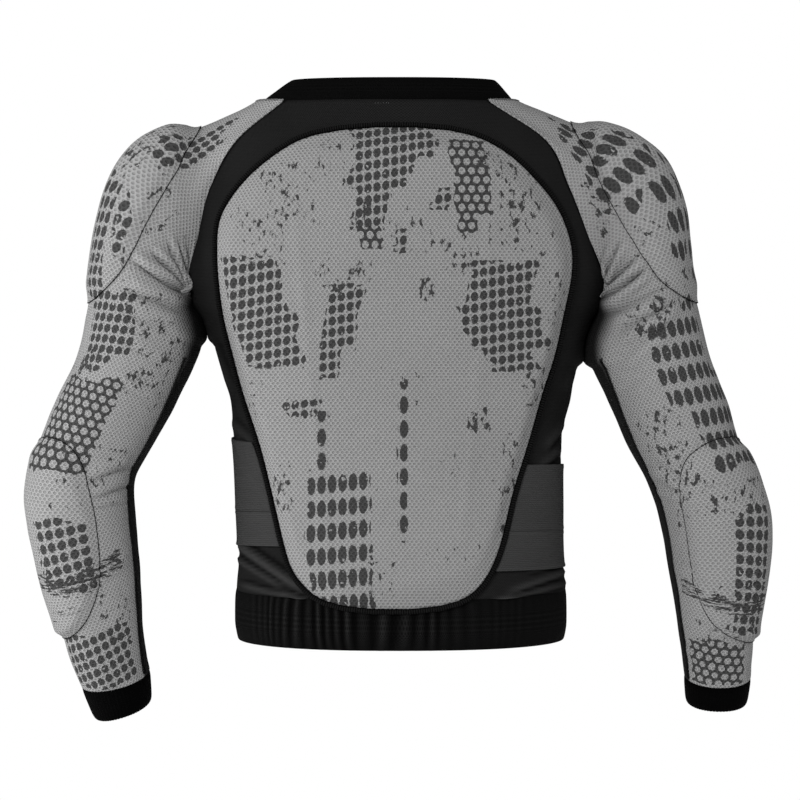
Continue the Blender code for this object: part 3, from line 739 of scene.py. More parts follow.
# %% Print on the sleeves
SLEEVE_PRINT = {
    # section, degrees, half sections, half degrees, lean, motif, strength
    -1: (
        (1.5, 44.0, 0.9, 15.0, 0.1, "dots", 1.0),
        (5.2, 32.0, 1.5, 15.0, 0.0, "dots", 1.0),
        (4.6, 62.0, 0.9, 10.0, 0.3, "dots", 0.85),
        (7.3, 60.0, 1.0, 26.0, -0.2, "dots", 1.0),
        (9.6, 56.0, 1.0, 36.0, 0.1, "holes", 1.0),
        (12.5, 66.0, 0.75, 30.0, 0.1, "dots", 1.0),
        (15.1, 76.0, 0.75, 58.0, 0.0, "dots", 1.0),
        (2.8, 30.0, 1.0, 20.0, 0.2, "flecks", 0.9),
        (2.9, 84.0, 1.2, 20.0, 0.1, "flecks", 0.8),
        (6.4, 92.0, 0.9, 26.0, 0.2, "flecks", 0.75),
        (8.0, 112.0, 1.2, 26.0, 0.2, "flecks", 0.9),
        (8.3, 40.0, 0.5, 30.0, 0.0, "flecks", 0.9),
        (10.8, 96.0, 0.8, 40.0, 0.1, "flecks", 0.75),
        (13.0, 24.0, 0.22, 40.0, 0.9, "streaks", 1.0),
        (12.95, 94.0, 0.22, 40.0, -1.2, "streaks", 1.0),
        (13.7, 40.0, 0.20, 44.0, 0.0, "streaks", 0.7),
        (14.0, 116.0, 0.9, 26.0, 0.0, "flecks", 0.8),
        (8.0, 60.0, 8.0, 120.0, 0.0, "flecks", 0.40),
        (5.0, -70.0, 1.6, 30.0, 0.0, "dots", 1.0),
        (9.5, -70.0, 1.2, 34.0, 0.0, "dots", 1.0),
        (13.0, -70.0, 1.2, 34.0, 0.0, "flecks", 0.8),
    ),
    1: (
        (2.0, 54.0, 1.3, 30.0, 0.1, "ovals", 1.0),
        (4.4, 46.0, 1.5, 14.0, -0.2, "ovals", 1.0),
        (5.0, 14.0, 1.4, 12.0, 0.0, "ovals", 0.9),
        (8.0, 60.0, 1.2, 32.0, 0.2, "ovals", 1.0),
        (9.5, 40.0, 1.1, 36.0, 0.1, "ovals", 1.0),
        (12.9, 52.0, 1.3, 22.0, 0.1, "dots", 1.0),
        (15.2, 94.0, 0.65, 46.0, 0.0, "holes", 1.0),
        (1.5, 90.0, 0.9, 20.0, 0.2, "flecks", 0.85),
        (4.0, 84.0, 0.9, 20.0, 0.3, "flecks", 0.75),
        (6.4, 60.0, 0.5, 30.0, 0.0, "flecks", 0.8),
        (7.1, 92.0, 0.7, 22.0, 0.2, "flecks", 1.0),
        (10.6, 110.0, 1.4, 26.0, 0.2, "flecks", 0.9),
        (11.4, 60.0, 0.5, 40.0, 0.0, "flecks", 0.9),
        (13.4, 34.0, 0.22, 40.0, 1.0, "streaks", 1.0),
        (13.3, 106.0, 0.22, 40.0, -1.2, "streaks", 1.0),
        (14.3, 80.0, 0.5, 50.0, 0.0, "flecks", 0.8),
        (8.0, 60.0, 8.0, 120.0, 0.0, "flecks", 0.40),
        (5.0, -70.0, 1.6, 30.0, 0.0, "ovals", 1.0),
        (9.5, -70.0, 1.2, 34.0, 0.0, "dots", 1.0),
        (13.0, -70.0, 1.2, 34.0, 0.0, "flecks", 0.8),
    ),
}
print("patches on the sleeves:", sum(len(rows) for rows in SLEEVE_PRINT.values()))


# %% Shares of the print
def print_shares(chart, a, b):
    """How much of each motif lies at a place of a chart."""
    shares = dict.fromkeys(PRINTS, 0.0)
    for mid_a, mid_b, half_a, half_b, lean, motif, strength in chart:
        da, db = (a - mid_a) / half_a, (b - mid_b) / half_b
        da -= lean * db
        if abs(da) > 1.6 or abs(db) > 1.6:
            continue
        far = max(abs(da), abs(db)) + 0.12 * math.sin(5.1 * da + 9 * mid_b) * math.cos(4.7 * db)
        soft = 0.5 if motif == "flecks" else 0.24
        shares[motif] = max(shares[motif], strength * smoothstep((1 + soft / 2 - far) / soft))
    return [shares[word] for word in PRINTS]


print("shares at one place:", print_shares(BACK_PRINT, -0.004, 0.050))

# %% [markdown]
# ## The black strip inside the arm
#
# Along the inside of the arm the mesh gives way to black cloth. It is the same tube of
# cloth here, darkened where the strip runs, so no gap can open at the join. The edge is
# sharp along the forearm, where the darkening is the black cloth. At the upper arm, where
# the strip turns away, it is wider with a soft edge, and there the darkening is partly
# the black cloth and partly painted shade.

# %% Inner strip
STRIP = ((0.0, 178.0), (2.5, 172.0), (4.0, 160.0), (5.5, 140.0), (7.0, 136.0), (9.0, 147.0),
         (11.0, 154.0), (14.0, 154.0), (16.0, 150.0))


def strip_turn(place):
    """Where the black strip of the inner arm begins, in degrees round it."""
    return smooth_row(STRIP, place)[0]


def sleeve_shares(side, place, turn):
    """The sleeve's print, and the strip as the share called dark: black cloth, with painted shade in its
    soft upper part.
    """
    shares = print_shares(SLEEVE_PRINT[side], place, turn)
    # The wide soft edge at the upper arm is painted shade; the sharp forearm edge is the black cloth's.
    soft = 3.0 + 30.0 * smoothstep((9.5 - place) / 2.5)
    shares[-1] = smoothstep((abs(turn) - strip_turn(place)) / soft + 0.5)
    return shares


print("the strip begins at the wrist at", round(strip_turn(WRIST)), "degrees")

# %% [markdown]
# ## Folds of the body
#
# A thin stretch knit carries the padded panel. Between armpit and belts it pulls into
# slanting folds, and above the hem it falls in loose ones. The rows of a table say where
# a fold runs, and a bell curve across that line gives its soft ridge. Simulated cloth
# would fold too, but not where the photograph shows it.

# %% Folds of the body
HEM_START = 1 - HEM_BAND_HEIGHT / BODY_LENGTH
PANEL_END = HEM_START + 0.0008 / BODY_LENGTH
BODY_FOLDS = (
    # from x, z to x, z on the back, half width, height
    (-0.178, -0.372, -0.150, -0.402, 0.0050, 0.0022),
    (-0.184, -0.350, -0.158, -0.376, 0.0045, 0.0016),
    (0.176, -0.380, 0.150, -0.402, 0.0045, 0.0020),
    (0.180, -0.352, 0.158, -0.380, 0.0045, 0.0018),
    (-0.176, -0.484, -0.100, -0.534, 0.0046, 0.0056),
    (-0.178, -0.500, -0.126, -0.530, 0.0030, 0.0034),
    (-0.172, -0.528, -0.112, -0.542, 0.0034, 0.0030),
    (-0.130, -0.533, -0.060, -0.560, 0.0030, 0.0030),
    (0.182, -0.515, 0.118, -0.534, 0.0034, 0.0036),
    (0.182, -0.528, 0.100, -0.545, 0.0030, 0.0032),
    (0.176, -0.506, 0.140, -0.512, 0.0028, 0.0024),
    (0.120, -0.540, 0.050, -0.562, 0.0030, 0.0028),
    (-0.206, -0.262, -0.184, -0.318, 0.0050, 0.0016),
    (0.204, -0.262, 0.182, -0.318, 0.0050, 0.0016),
)


def stroke(point, x0, z0, x1, z1, half, height):
    """A soft ridge with a narrow valley beside it, along a line on the back."""
    run_x, run_z = x1 - x0, z1 - z0
    length = math.hypot(run_x, run_z)
    along = ((point.x - x0) * run_x + (point.z - z0) * run_z) / length**2
    if not -0.25 < along < 1.25:
        return 0.0
    aside = ((point.z - z0) * run_x - (point.x - x0) * run_z) / length
    if abs(aside) > 5 * half:
        return 0.0
    ends = smoothstep((along + 0.12) / 0.30) * smoothstep((1.12 - along) / 0.40)
    return height * ends * (bell(aside / half) - 0.7 * bell((aside - 1.45 * half) / (0.55 * half)))


print("fold rows:", len(BODY_FOLDS))

# %% [markdown]
# ## Where arm and body meet
#
# Under the arm the sleeve lies against the body, and no light comes between them. Both
# swell towards each other by half of the room there. The room is measured at each height
# by halving: a place on the sleeve's inner line is moved until it has that height.

# %% Armpits
ARMPIT_ENDS = {-1: -0.256, 1: -0.280}  # the height where arm and body part
fills = {}


def armpit_half(side, z):
    """Half of the room between the sleeve's inner line and the body, at a height."""
    low, high = 3.0, 9.5
    for _ in range(22):
        place = (low + high) / 2
        if sleeve_point(side, place, 180).z > z:
            low = place
        else:
            high = place
    gap = abs(sleeve_point(side, low, 180).x) - abs(body_point(side, -z / BODY_LENGTH, 0).x)
    hold = smoothstep((z - ARMPIT_ENDS[side] + 0.012) / 0.012) * smoothstep((-0.200 - z) / 0.018)
    return min(max(gap - 0.0024, 0.0) / 2, 0.0085) * hold


def armpit_bulge(side, down, turn):
    """The body's half of the meeting."""
    if not 0.32 < down < 0.50 or abs(turn) > 60:
        return 0.0
    key = ("body", side, round(down, 4))
    if key not in fills:
        fills[key] = armpit_half(side, -down * BODY_LENGTH)
    return fills[key] * bell(turn / 24)


def armpit_fill(side, place, turn):
    """The sleeve's half of the meeting."""
    if place < 2.0 or place > 9.5 or abs(turn) < 90:
        return 0.0
    key = (side, round(place, 3))
    if key not in fills:
        point = sleeve_point(side, place, 180)
        level = max(0.4, abs(sleeve_way(side, place, 180).x))
        fills[key] = armpit_half(side, point.z) / level
    return fills[key] * bell((180 - abs(turn)) / 42)


print("half of the room under the left arm:", round(armpit_half(-1, -0.24), 4), "m")

# %% [markdown]
# ## The black back and its side panels
#
# One sheet of fine knit runs round the back from side to side, under the padded panel.
# It is laid on the body's surface, and a share of painted light lightens the folds' ridges as a painted
# highlight and darkens their valleys as painted shade.


# %% Back of the body
def body_folds(side, down, turn):
    """Height of the folds at a place of the body, in metres."""
    point = body_point(side, down, turn)
    height = sum(stroke(point, *fold) for fold in BODY_FOLDS)
    if turn < 0:
        height *= 0.5
    wobble = noise.noise(Vector((point.x * 22, point.y * 22, point.z * 22)))
    return height + 0.0005 * wobble + armpit_bulge(side, down, turn)


def back_body_place(s, t):
    """Where a place of the back's sheet lies: s from left to right, t upwards."""
    down = PANEL_END * (1 - t)
    side = -1 if s < 0.5 else 1
    inner = abs(s - 0.5) * 2
    edge = max(seam_turn(side, down), 0.15)
    return side, down, 90 + (edge - 90) * inner


def knit_chart(place):
    """Metres across and down, for cloth on the body."""
    def chart(s, t):
        side, down, turn = place(s, t)
        half = body_row(down)[1 if side > 0 else 0]
        return side * (90 - abs(turn)) / 90 * half * 1.22, -down * BODY_LENGTH
    return chart


def body_crest(side, down, turn):
    """How much painted highlight a fold's ridge gets, and below 0 how much painted shade its valley gets.
    """
    point = body_point(side, down, turn)
    height = sum(stroke(point, *fold) for fold in BODY_FOLDS)
    return min(max(height / 0.0040, -0.33), 1.0)


black_back = lay_cloth(
    "black_back", 132, 150, lambda s, t: body_point(*back_body_place(s, t)),
    folds=lambda s, t: body_folds(*back_body_place(s, t)),
    # Painted light on the folds: a painted highlight on ridges, painted shade in valleys.
    paint=lambda s, t: [body_crest(*back_body_place(s, t))],
    chart=knit_chart(back_body_place), out=Vector((0, -1, 0)), wall=-0.0018,
)
finish_piece(black_back, black_knit, "cloth_black", "back_body")

# %% [markdown]
# ## The two fronts and the zip
#
# The front is out of sight in the photograph, so it is finished plainly: two black
# panels and one closed zip between them. The zip is a strip of tape with a ridge of fine
# teeth down its middle. Single teeth would cost many faces for a part that nobody sees.

# %% Fronts
for side, word in ((-1, "left"), (1, "right")):
    def front_place(s, t, side=side):
        down = PANEL_END * (1 - t)
        edge = max(seam_turn(side, down), 0.15)
        stop = turn_at(side, down, ZIP_WIDTH / 2 + SEAM_GAP)
        return side, down, -(edge + (stop - edge) * s)

    panel = lay_cloth(
        "black_front_" + word, 64, 130,
        lambda s, t, place=front_place: body_point(*place(s, t)),
        folds=lambda s, t, place=front_place: body_folds(*place(s, t)) * 0.8,
        chart=knit_chart(front_place), out=Vector((0, 1, 0)), wall=-0.0018,
    )
    finish_piece(panel, black_knit, "cloth_black", "front_panel_" + word)


# %% Zip
def zip_place(s, t):
    """On the front's middle: s across the tape, t upwards."""
    down = PANEL_END * (1 - t)
    across = (s - 0.5) * ZIP_WIDTH
    side = 1 if across >= 0 else -1
    return body_point(side, down, -turn_at(side, down, abs(across)))


def zip_teeth(s, t):
    """A ridge down the middle, notched by 150 pairs of teeth."""
    ridge = bell((s - 0.5) / 0.13)
    return 0.0012 * ridge * (0.75 + 0.25 * math.sin(t * 2 * math.pi * 150))


front_zip = lay_cloth(
    "plain_front_zip", 16, 900, zip_place, folds=zip_teeth,
    chart=lambda s, t: (s * ZIP_WIDTH, t * 0.50), out=Vector((0, 1, 0)), wall=-0.0028,
)
finish_piece(front_zip, zip_tape, "zip_black", "front_zip")

# %% [markdown]
# ## Sleeves
#
# Each sleeve is one tube of the printed mesh. It gathers into ridges that fan out of the
# armpit, and creases in bands across the inside of the elbow and the forearm. The creases
# are rows of a table, as on the body, because their places can be measured.

# %% Creases of the sleeves
CREASES = {
    # from x, z to x, z on the back, half width, height
    -1: (
        (-0.2310, -0.2080, -0.2870, -0.1680, 0.0052, 0.0062),
        (-0.2290, -0.2060, -0.2640, -0.1620, 0.0045, 0.0055),
        (-0.2330, -0.2030, -0.2480, -0.1500, 0.0036, 0.0040),
        (-0.2290, -0.1960, -0.2380, -0.1560, 0.0028, 0.0026),
        (-0.2340, -0.2220, -0.2960, -0.1960, 0.0070, 0.0040),
        (-0.2420, -0.2420, -0.3000, -0.2180, 0.0080, 0.0030),
        (-0.2480, -0.2860, -0.2960, -0.2560, 0.0060, 0.0022),
        (-0.2640, -0.3280, -0.3060, -0.2980, 0.0050, 0.0018),
        (-0.2960, -0.3900, -0.3380, -0.4080, 0.0060, 0.0040),
        (-0.2980, -0.4120, -0.3400, -0.4300, 0.0055, 0.0036),
        (-0.3020, -0.4340, -0.3360, -0.4400, 0.0040, 0.0026),
        (-0.3980, -0.4950, -0.3480, -0.5300, 0.0030, 0.0024),
        (-0.3980, -0.5060, -0.3440, -0.5360, 0.0024, 0.0030),
        (-0.3900, -0.5180, -0.3320, -0.5310, 0.0022, 0.0030),
        (-0.3480, -0.5300, -0.2960, -0.4980, 0.0026, 0.0030),
        (-0.3440, -0.5360, -0.3000, -0.5060, 0.0022, 0.0026),
        (-0.3320, -0.5310, -0.2960, -0.4880, 0.0022, 0.0020),
        (-0.3620, -0.5560, -0.3080, -0.5380, 0.0024, 0.0014),
        (-0.3600, -0.6000, -0.3060, -0.6240, 0.0040, 0.0020),
        (-0.3420, -0.6240, -0.2980, -0.6420, 0.0030, 0.0018),
    ),
    1: (
        (0.2230, -0.2240, 0.2630, -0.1760, 0.0048, 0.0060),
        (0.2270, -0.2300, 0.2720, -0.1900, 0.0046, 0.0062),
        (0.2250, -0.2120, 0.2460, -0.1560, 0.0040, 0.0044),
        (0.2180, -0.2000, 0.2300, -0.1600, 0.0030, 0.0028),
        (0.2340, -0.2440, 0.2960, -0.2140, 0.0070, 0.0044),
        (0.2420, -0.2620, 0.3020, -0.2300, 0.0056, 0.0034),
        (0.2460, -0.2900, 0.2960, -0.2520, 0.0050, 0.0026),
        (0.2560, -0.3200, 0.2980, -0.2900, 0.0050, 0.0016),
        (0.2780, -0.4020, 0.3120, -0.4240, 0.0052, 0.0034),
        (0.2840, -0.4260, 0.3140, -0.4360, 0.0040, 0.0024),
        (0.3080, -0.5120, 0.3560, -0.5500, 0.0026, 0.0028),
        (0.3060, -0.5040, 0.3500, -0.5420, 0.0022, 0.0026),
        (0.3120, -0.5260, 0.3640, -0.5520, 0.0022, 0.0022),
        (0.3560, -0.5500, 0.4040, -0.5160, 0.0028, 0.0030),
        (0.3500, -0.5420, 0.4060, -0.5020, 0.0024, 0.0022),
        (0.3680, -0.5560, 0.4020, -0.5300, 0.0022, 0.0024),
        (0.3440, -0.5820, 0.3880, -0.5800, 0.0024, 0.0026),
        (0.3180, -0.6000, 0.3600, -0.6300, 0.0036, 0.0022),
    ),
}


def sleeve_folds(side, place, turn):
    """Height of the creases at a place of the sleeve, in metres."""
    point = sleeve_point(side, place, turn)
    height = sum(stroke(point, *fold) for fold in CREASES[side])
    height *= 1 + 0.45 * smoothstep((point.z + 0.27) / 0.03)
    if turn < 0:
        height *= 0.6
    inner = smoothstep((abs(turn) - 20) / 30) * smoothstep((178 - abs(turn)) / 14)
    soft = noise.noise(point * 15) + 0.8 * noise.noise(point * 34)
    calm = smoothstep(place / 0.25) * smoothstep((WRIST - place) / 0.6)
    return (height * inner + 0.0011 * soft) * calm + armpit_fill(side, place, turn)


print("crease rows:", sum(len(rows) for rows in CREASES.values()))

# %% [markdown]
# ## The sleeve's flat pattern
#
# A print and a knit keep their size only on a map that is as large as the cloth. A simple
# map, round by along, squeezes them at the shoulder. So a coarse copy of the sleeve is
# opened along its inner line and unwrapped flat, as a cutter would lay it out. It is
# scaled until its edges are as long as on the sleeve, and it also gives the size of the cut.

# %% Flat pattern
TURNS = 48
STEPS = WRIST * 4


def unwrapped(side):
    """The sleeve opened along its inner line and laid flat, in metres, as two tables."""
    bm = bmesh.new()
    bmesh.ops.create_grid(bm, x_segments=TURNS, y_segments=STEPS, size=0.5)
    spots = {}
    for v in bm.verts:
        step, turn = round((v.co.y + 0.5) * STEPS), round((v.co.x + 0.5) * TURNS)
        spots[v.index] = (step, turn)
        v.co = sleeve_point(side, step / 4, 359.98 * turn / TURNS - 179.99)
    pattern = made("sleeve pattern", bm)
    mesh = pattern.data
    bpy.context.view_layer.objects.active = pattern
    mesh.uv_layers.new(name="flat")
    bpy.ops.object.mode_set(mode="EDIT")
    bpy.ops.mesh.select_all(action="SELECT")
    bpy.ops.uv.unwrap(method="ANGLE_BASED", margin=0.0)
    bpy.ops.object.mode_set(mode="OBJECT")
    flat = {}
    for loop, corner in zip(mesh.loops, mesh.uv_layers["flat"].data):
        flat[spots[loop.vertex_index]] = Vector(corner.uv)
    real = sum((mesh.vertices[e.vertices[0]].co - mesh.vertices[e.vertices[1]].co).length
               for e in mesh.edges)
    drawn = sum((flat[spots[e.vertices[0]]] - flat[spots[e.vertices[1]]]).length for e in mesh.edges)
    bpy.data.objects.remove(pattern)
    bpy.data.meshes.remove(mesh)
    size, column = real / drawn, TURNS // 2 + 5  # a column near the middle of the back
    down = (flat[STEPS - 8, column] - flat[16, column]).normalized()
    across = Vector((-down.y, down.x))
    if (flat[32, column + 6] - flat[32, column]).dot(across) < 0:
        across = -across
    start = flat[STEPS, TURNS // 2]
    tables = ([], [])
    for step in range(STEPS + 1):
        row = [(flat[step, turn] - start) * size for turn in range(TURNS + 1)]
        tables[0].append([spot.dot(across) for spot in row])
        tables[1].append([-spot.dot(down) for spot in row])
    return tables


sleeve_charts = {side: unwrapped(side) for side in (-1, 1)}


def sleeve_chart(side, place, turn):
    """Metres round and along the sleeve, read from its flat pattern."""
    step = min(max(place, 0.0) * 4, STEPS - 1e-6)
    column = min(max((turn + 180.0) / 360.0 * TURNS, 0.0), TURNS - 1e-6)
    i, j = int(step), int(column)
    a, b = step - i, column - j
    values = []
    for table in sleeve_charts[side]:
        upper = table[i][j] * (1 - b) + table[i][j + 1] * b
        lower = table[i + 1][j] * (1 - b) + table[i + 1][j + 1] * b
        values.append(upper * (1 - a) + lower * a)
    return tuple(values)


# %% Sleeves
def sleeve_place(side):
    """From a place of the grid to a place of that side's sleeve."""
    def place(s, t):
        return side, WRIST * t, 360.0 * s - 180.0
    return place


for side, word in ((-1, "left"), (1, "right")):
    place = sleeve_place(side)
    sleeve = lay_cloth(
        "mesh_sleeve_" + word, 132, 260,
        lambda s, t, place=place: sleeve_point(*place(s, t)),
        folds=lambda s, t, place=place: sleeve_folds(*place(s, t)) + 0.0004,
        chart=lambda s, t, place=place: sleeve_chart(*place(s, t)),
        paint=lambda s, t, place=place: sleeve_shares(*place(s, t)), words=PRINTS,
        closed=True, out=Vector((side, -0.2, 0)), wall=0.0016,
    )
    finish_piece(sleeve, sleeve_mesh, "mesh_grey", "sleeve_" + word)

# %% [markdown]
# ## Padded shoulders and elbows
#
# A moulded foam cup sits under its own patch of the mesh, sewn down all round. It keeps
# its form, so it is shaped here as a crowned disc with a sewn groove at its edge. A
# simulated cushion would puff up, which this moulded foam does not do. The patch has a
# top and an underside, joined round the edge by bridging their rims.

# %% Pad helper
def crowned_pad(name, rings, ways, spot, height, chart, paint, out, under):
    """A closed pad from a disc. spot(share, way) is its seat, height(share, way) its rise."""
    bm = bmesh.new()
    cloth_map = bm.loops.layers.uv.new("cloth")
    floats = [bm.verts.layers.float.new(word) for word in PRINTS]
    for raised in (True, False):
        before = set(bm.verts)
        bmesh.ops.create_grid(bm, x_segments=ways, y_segments=rings, size=0.5)
        fresh = [v for v in bm.verts if v not in before]
        shares = {v: (v.co.x + 0.5, v.co.y + 0.5) for v in fresh}
        for v, (s, t) in shares.items():
            seat, way_out = spot(1 - t, 2 * math.pi * s)
            rise = height(1 - t, 2 * math.pi * s) if raised else under
            v.co = seat + way_out * rise
            for layer, amount in zip(floats, paint(1 - t, 2 * math.pi * s)):
                v[layer] = amount
        faces = {f for v in fresh for f in v.link_faces}
        for face in faces:
            face.smooth = True
            for loop in face.loops:
                s, t = shares[loop.vert]
                loop[cloth_map].uv = chart(1 - t, 2 * math.pi * s)
        bm.normal_update()
        probe = min(fresh, key=lambda v: abs(shares[v][1] - 0.8) + abs(shares[v][0] - 0.5))
        if (probe.normal.dot(out) > 0) != raised:
            bmesh.ops.reverse_faces(bm, faces=list(faces))
    bmesh.ops.remove_doubles(bm, verts=bm.verts, dist=0.00004)
    rims = [e for e in bm.edges if len(e.link_faces) == 1]
    bridged = bmesh.ops.bridge_loops(bm, edges=rims)
    for face in bridged["faces"]:
        for loop in face.loops:
            near = [other for other in loop.vert.link_loops if other.face not in bridged["faces"]]
            if near:
                loop[cloth_map].uv = near[0][cloth_map].uv
    return made(name, bm)


# %% Pads on the sleeves
PADS = {
    # (kind, side): (middle section, half length, middle turn, half turn, rise)
    ("shoulder", -1): (3.85, 2.9, 5.0, 78.0, 0.0046),
    ("shoulder", 1): (3.8, 2.95, 10.0, 86.0, 0.0046),
    ("elbow", -1): (12.1, 2.25, 28.0, 77.0, 0.0048),
    ("elbow", 1): (12.2, 2.3, 34.0, 90.0, 0.0048),
}


def pad_rise(share, rise, way, fuller):
    """Flat at the sewn edge, quickly up to the foam; an elbow pad is fuller at its lower end."""
    edge, lower = 0.0012, max(0.0, math.cos(way)) ** 2 * fuller
    full = smoothstep((1 - share) / (0.16 - 0.10 * lower))
    return edge + rise * full * (1 + 0.12 * (1 - share) + lower * share)


pad_seams = {}
for (kind, side), (middle, half, middle_turn, half_turn, rise) in PADS.items():
    word = "right" if side > 0 else "left"

    def pad_place(share, way, middle=middle, half=half, middle_turn=middle_turn, half_turn=half_turn):
        cosine, sine = math.cos(way), math.sin(way)
        return (middle + half * share * math.copysign(abs(cosine) ** 0.88, cosine),
                middle_turn + half_turn * share * math.copysign(abs(sine) ** 0.88, sine))

    def pad_spot(share, way, side=side, pad_place=pad_place):
        place, turn = pad_place(share, way)
        way_out = sleeve_way(side, place, turn)
        rest = 0.0021 + sleeve_folds(side, place, turn)
        return sleeve_point(side, place, turn) + way_out * rest, way_out

    def pad_paint(share, way, side=side, pad_place=pad_place):
        return sleeve_shares(side, *pad_place(share, way))

    def pad_height(share, way, rise=rise, fuller=0.45 if kind == "elbow" else 0.0):
        return pad_rise(share, rise, way, fuller)

    pad = crowned_pad(
        kind + "_cup_" + word, 40, 120, pad_spot, pad_height,
        lambda share, way, side=side, pad_place=pad_place: sleeve_chart(side, *pad_place(share, way)),
        pad_paint, Vector((side, -0.1, 0)), 0.0003,
    )
    finish_piece(pad, sleeve_mesh, "mesh_grey", kind + "_pad_" + word)
    pad_seams[kind, word] = [
        spot + way_out * 0.0010
        for spot, way_out in (pad_spot(1.0, 2 * math.pi * step / 260) for step in range(260))
    ]

# %% [markdown]
# ## The back protector
#
# The large grey panel is a moulded back plate under mesh. It stands proud of the body,
# and its edge rolls down to a corded piping. The plate is made from the same disc helper
# as the smaller pads, on the outline's own curve. Cutting a shape out of the body's grid
# would leave a stepped edge.


# %% Outline of the panel
def outline_loop(count, grow=0.0):
    """Evenly spaced points round the panel, in metres across and down."""
    right, left = [], []
    for step in range(91):
        down = OUTLINE[-1][0] * step / 90
        half_left, half_right = smooth_row(OUTLINE, down)
        right.append(Vector((half_right, down)))
        left.append(Vector((-half_left, down)))
    loop = [
        Vector(((p.x + OUTLINE_MIDDLE) * PROTECTOR_WIDTH, p.y * PROTECTOR_LENGTH))
        for p in right + left[::-1]
    ]
    for _ in range(3):
        count_now = len(loop)
        loop = [(loop[i - 1] + loop[i] * 2 + loop[(i + 1) % count_now]) / 4 for i in range(count_now)]
    lengths = [0.0]
    for number, point in enumerate(loop):
        lengths.append(lengths[-1] + (loop[(number + 1) % len(loop)] - point).length)
    even, number = [], 0
    for step in range(count):
        wanted = lengths[-1] * step / count
        while lengths[number + 1] < wanted:
            number += 1
        share = (wanted - lengths[number]) / (lengths[number + 1] - lengths[number])
        even.append(loop[number].lerp(loop[(number + 1) % len(loop)], share))
    grown = []
    for number, point in enumerate(even):
        along = (even[(number + 1) % count] - even[number - 1]).normalized()
        grown.append(point + Vector((along.y, -along.x)) * grow)
    return grown


print("panel edge:", [round(v, 3) for v in outline_loop(240)[60]], "m across and down")


# %% Plate of the back
def on_back(point, lift):
    """A flat place of the panel on the back, lifted, and the way out there."""
    down = (point.y + PROTECTOR_TOP) / BODY_LENGTH
    middle = Vector((0, 0, -down * BODY_LENGTH))
    way = steepness(back_point, point.x, down, 0.002, 0.004, middle)
    return back_point(point.x, down) + way * lift, way


WAYS = 240
panel_edge = outline_loop(WAYS)
panel_middle = Vector((OUTLINE_MIDDLE * PROTECTOR_WIDTH, 0.47 * PROTECTOR_LENGTH))


def panel_spot_flat(share, way):
    """From the panel's middle to its edge, in metres across and down."""
    step = way / (2 * math.pi) * WAYS
    index, t = int(step) % WAYS, step - int(step)
    edge = panel_edge[index].lerp(panel_edge[(index + 1) % WAYS], t)
    return panel_middle.lerp(edge, share)


def panel_rise(share, way):
    """Rolled edge, full plate, and faint lengthwise ridges of the moulding."""
    flat = panel_spot_flat(share, way)
    body = 0.0022 + 0.0108 * smoothstep((1 - share) / 0.11) ** 0.8
    inside = smoothstep((0.86 - share) / 0.15)
    ridge = bell((abs(flat.x - panel_middle.x) - 0.112 + flat.y * 0.09) / 0.006)
    spine = bell((flat.x - panel_middle.x) / 0.03)
    return body + inside * (0.0009 * ridge + 0.0006 * spine)


back_plate = crowned_pad(
    "mesh_back_plate", 90, WAYS, lambda share, way: on_back(panel_spot_flat(share, way), 0.0018),
    panel_rise,
    lambda share, way: (panel_spot_flat(share, way).x * 1.08, -panel_spot_flat(share, way).y),
    lambda share, way: print_shares(
        BACK_PRINT, panel_spot_flat(share, way).x, panel_spot_flat(share, way).y + PROTECTOR_TOP
    ),
    Vector((0, -1, 0)), 0.0,
)
finish_piece(back_plate, back_mesh, "mesh_grey", "back_protector")

# %% [markdown]
# ## Piping, seams and stitches
#
# A cord wrapped in black cloth borders the panel, and a thin seam runs round each pad. A
# curve with a round bevel is the short way to a cord. Here rings are bridged along the
# path, because each ring can then swell a little, and the cord carries its own map.


# %% Round cords along a path
def round_cord(name, path, radius, cyclic, twist=0.0, sides=8):
    """A tube along a path, with small humps where thread wraps it."""
    bm = bmesh.new()
    cloth_map = bm.loops.layers.uv.new("cloth")
    rings, places, run = [], {}, 0.0
    count = len(path)
    for number, point in enumerate(path):
        before = path[number - 1] if number or cyclic else point
        after = path[(number + 1) % count] if number < count - 1 or cyclic else point
        along = (after - before).normalized()
        across = along.cross(Vector((0, 1, 0)) if abs(along.y) < 0.9 else Vector((1, 0, 0)))
        across.normalize()
        ring = bmesh.ops.create_circle(bm, segments=sides, radius=1.0)["verts"]
        rise = across.cross(along)
        size = radius * (1 + twist * math.sin(number * 2.1))
        run += (point - before).length if number else 0.0
        for corner, v in enumerate(ring):
            places[v] = (2 * math.pi * radius * corner / sides, run)
            v.co = point + (across * v.co.x + rise * v.co.y) * size
        rings.append([e for e in bm.edges if all(v in ring for v in e.verts)])
    pairs = list(zip(rings, rings[1:])) + ([(rings[-1], rings[0])] if cyclic else [])
    for a, b in pairs:
        bmesh.ops.bridge_loops(bm, edges=a + b)
    if not cyclic:
        for ring in (rings[0], rings[-1]):
            bmesh.ops.edgeloop_fill(bm, edges=ring)
    bmesh.ops.recalc_face_normals(bm, faces=bm.faces)
    for face in bm.faces:
        face.smooth = True
        for loop in face.loops:
            loop[cloth_map].uv = places[loop.vert]
    return made(name, bm)


# %% Piping and pad seams
for (kind, word), path in pad_seams.items():
    seam = round_cord(kind + "_seam_" + word, path, 0.0005, True, twist=0.25, sides=5)
    finish_piece(seam, thread, "piping_black")
piping_path = [on_back(p, 0.0038)[0] for p in outline_loop(1200, 0.0033)]
piping = round_cord("corded_piping", piping_path, 0.0026, True, twist=0.06)
finish_piece(piping, piping_cloth, "piping_black", "back_piping")

# %% [markdown]
# ## Overlocked sleeve seams
#
# The sleeve closes along its inner line with an overlocked seam, and a pale zigzag holds
# the mesh to the collar. A zigzag is a thin cord whose path swings from side to side.


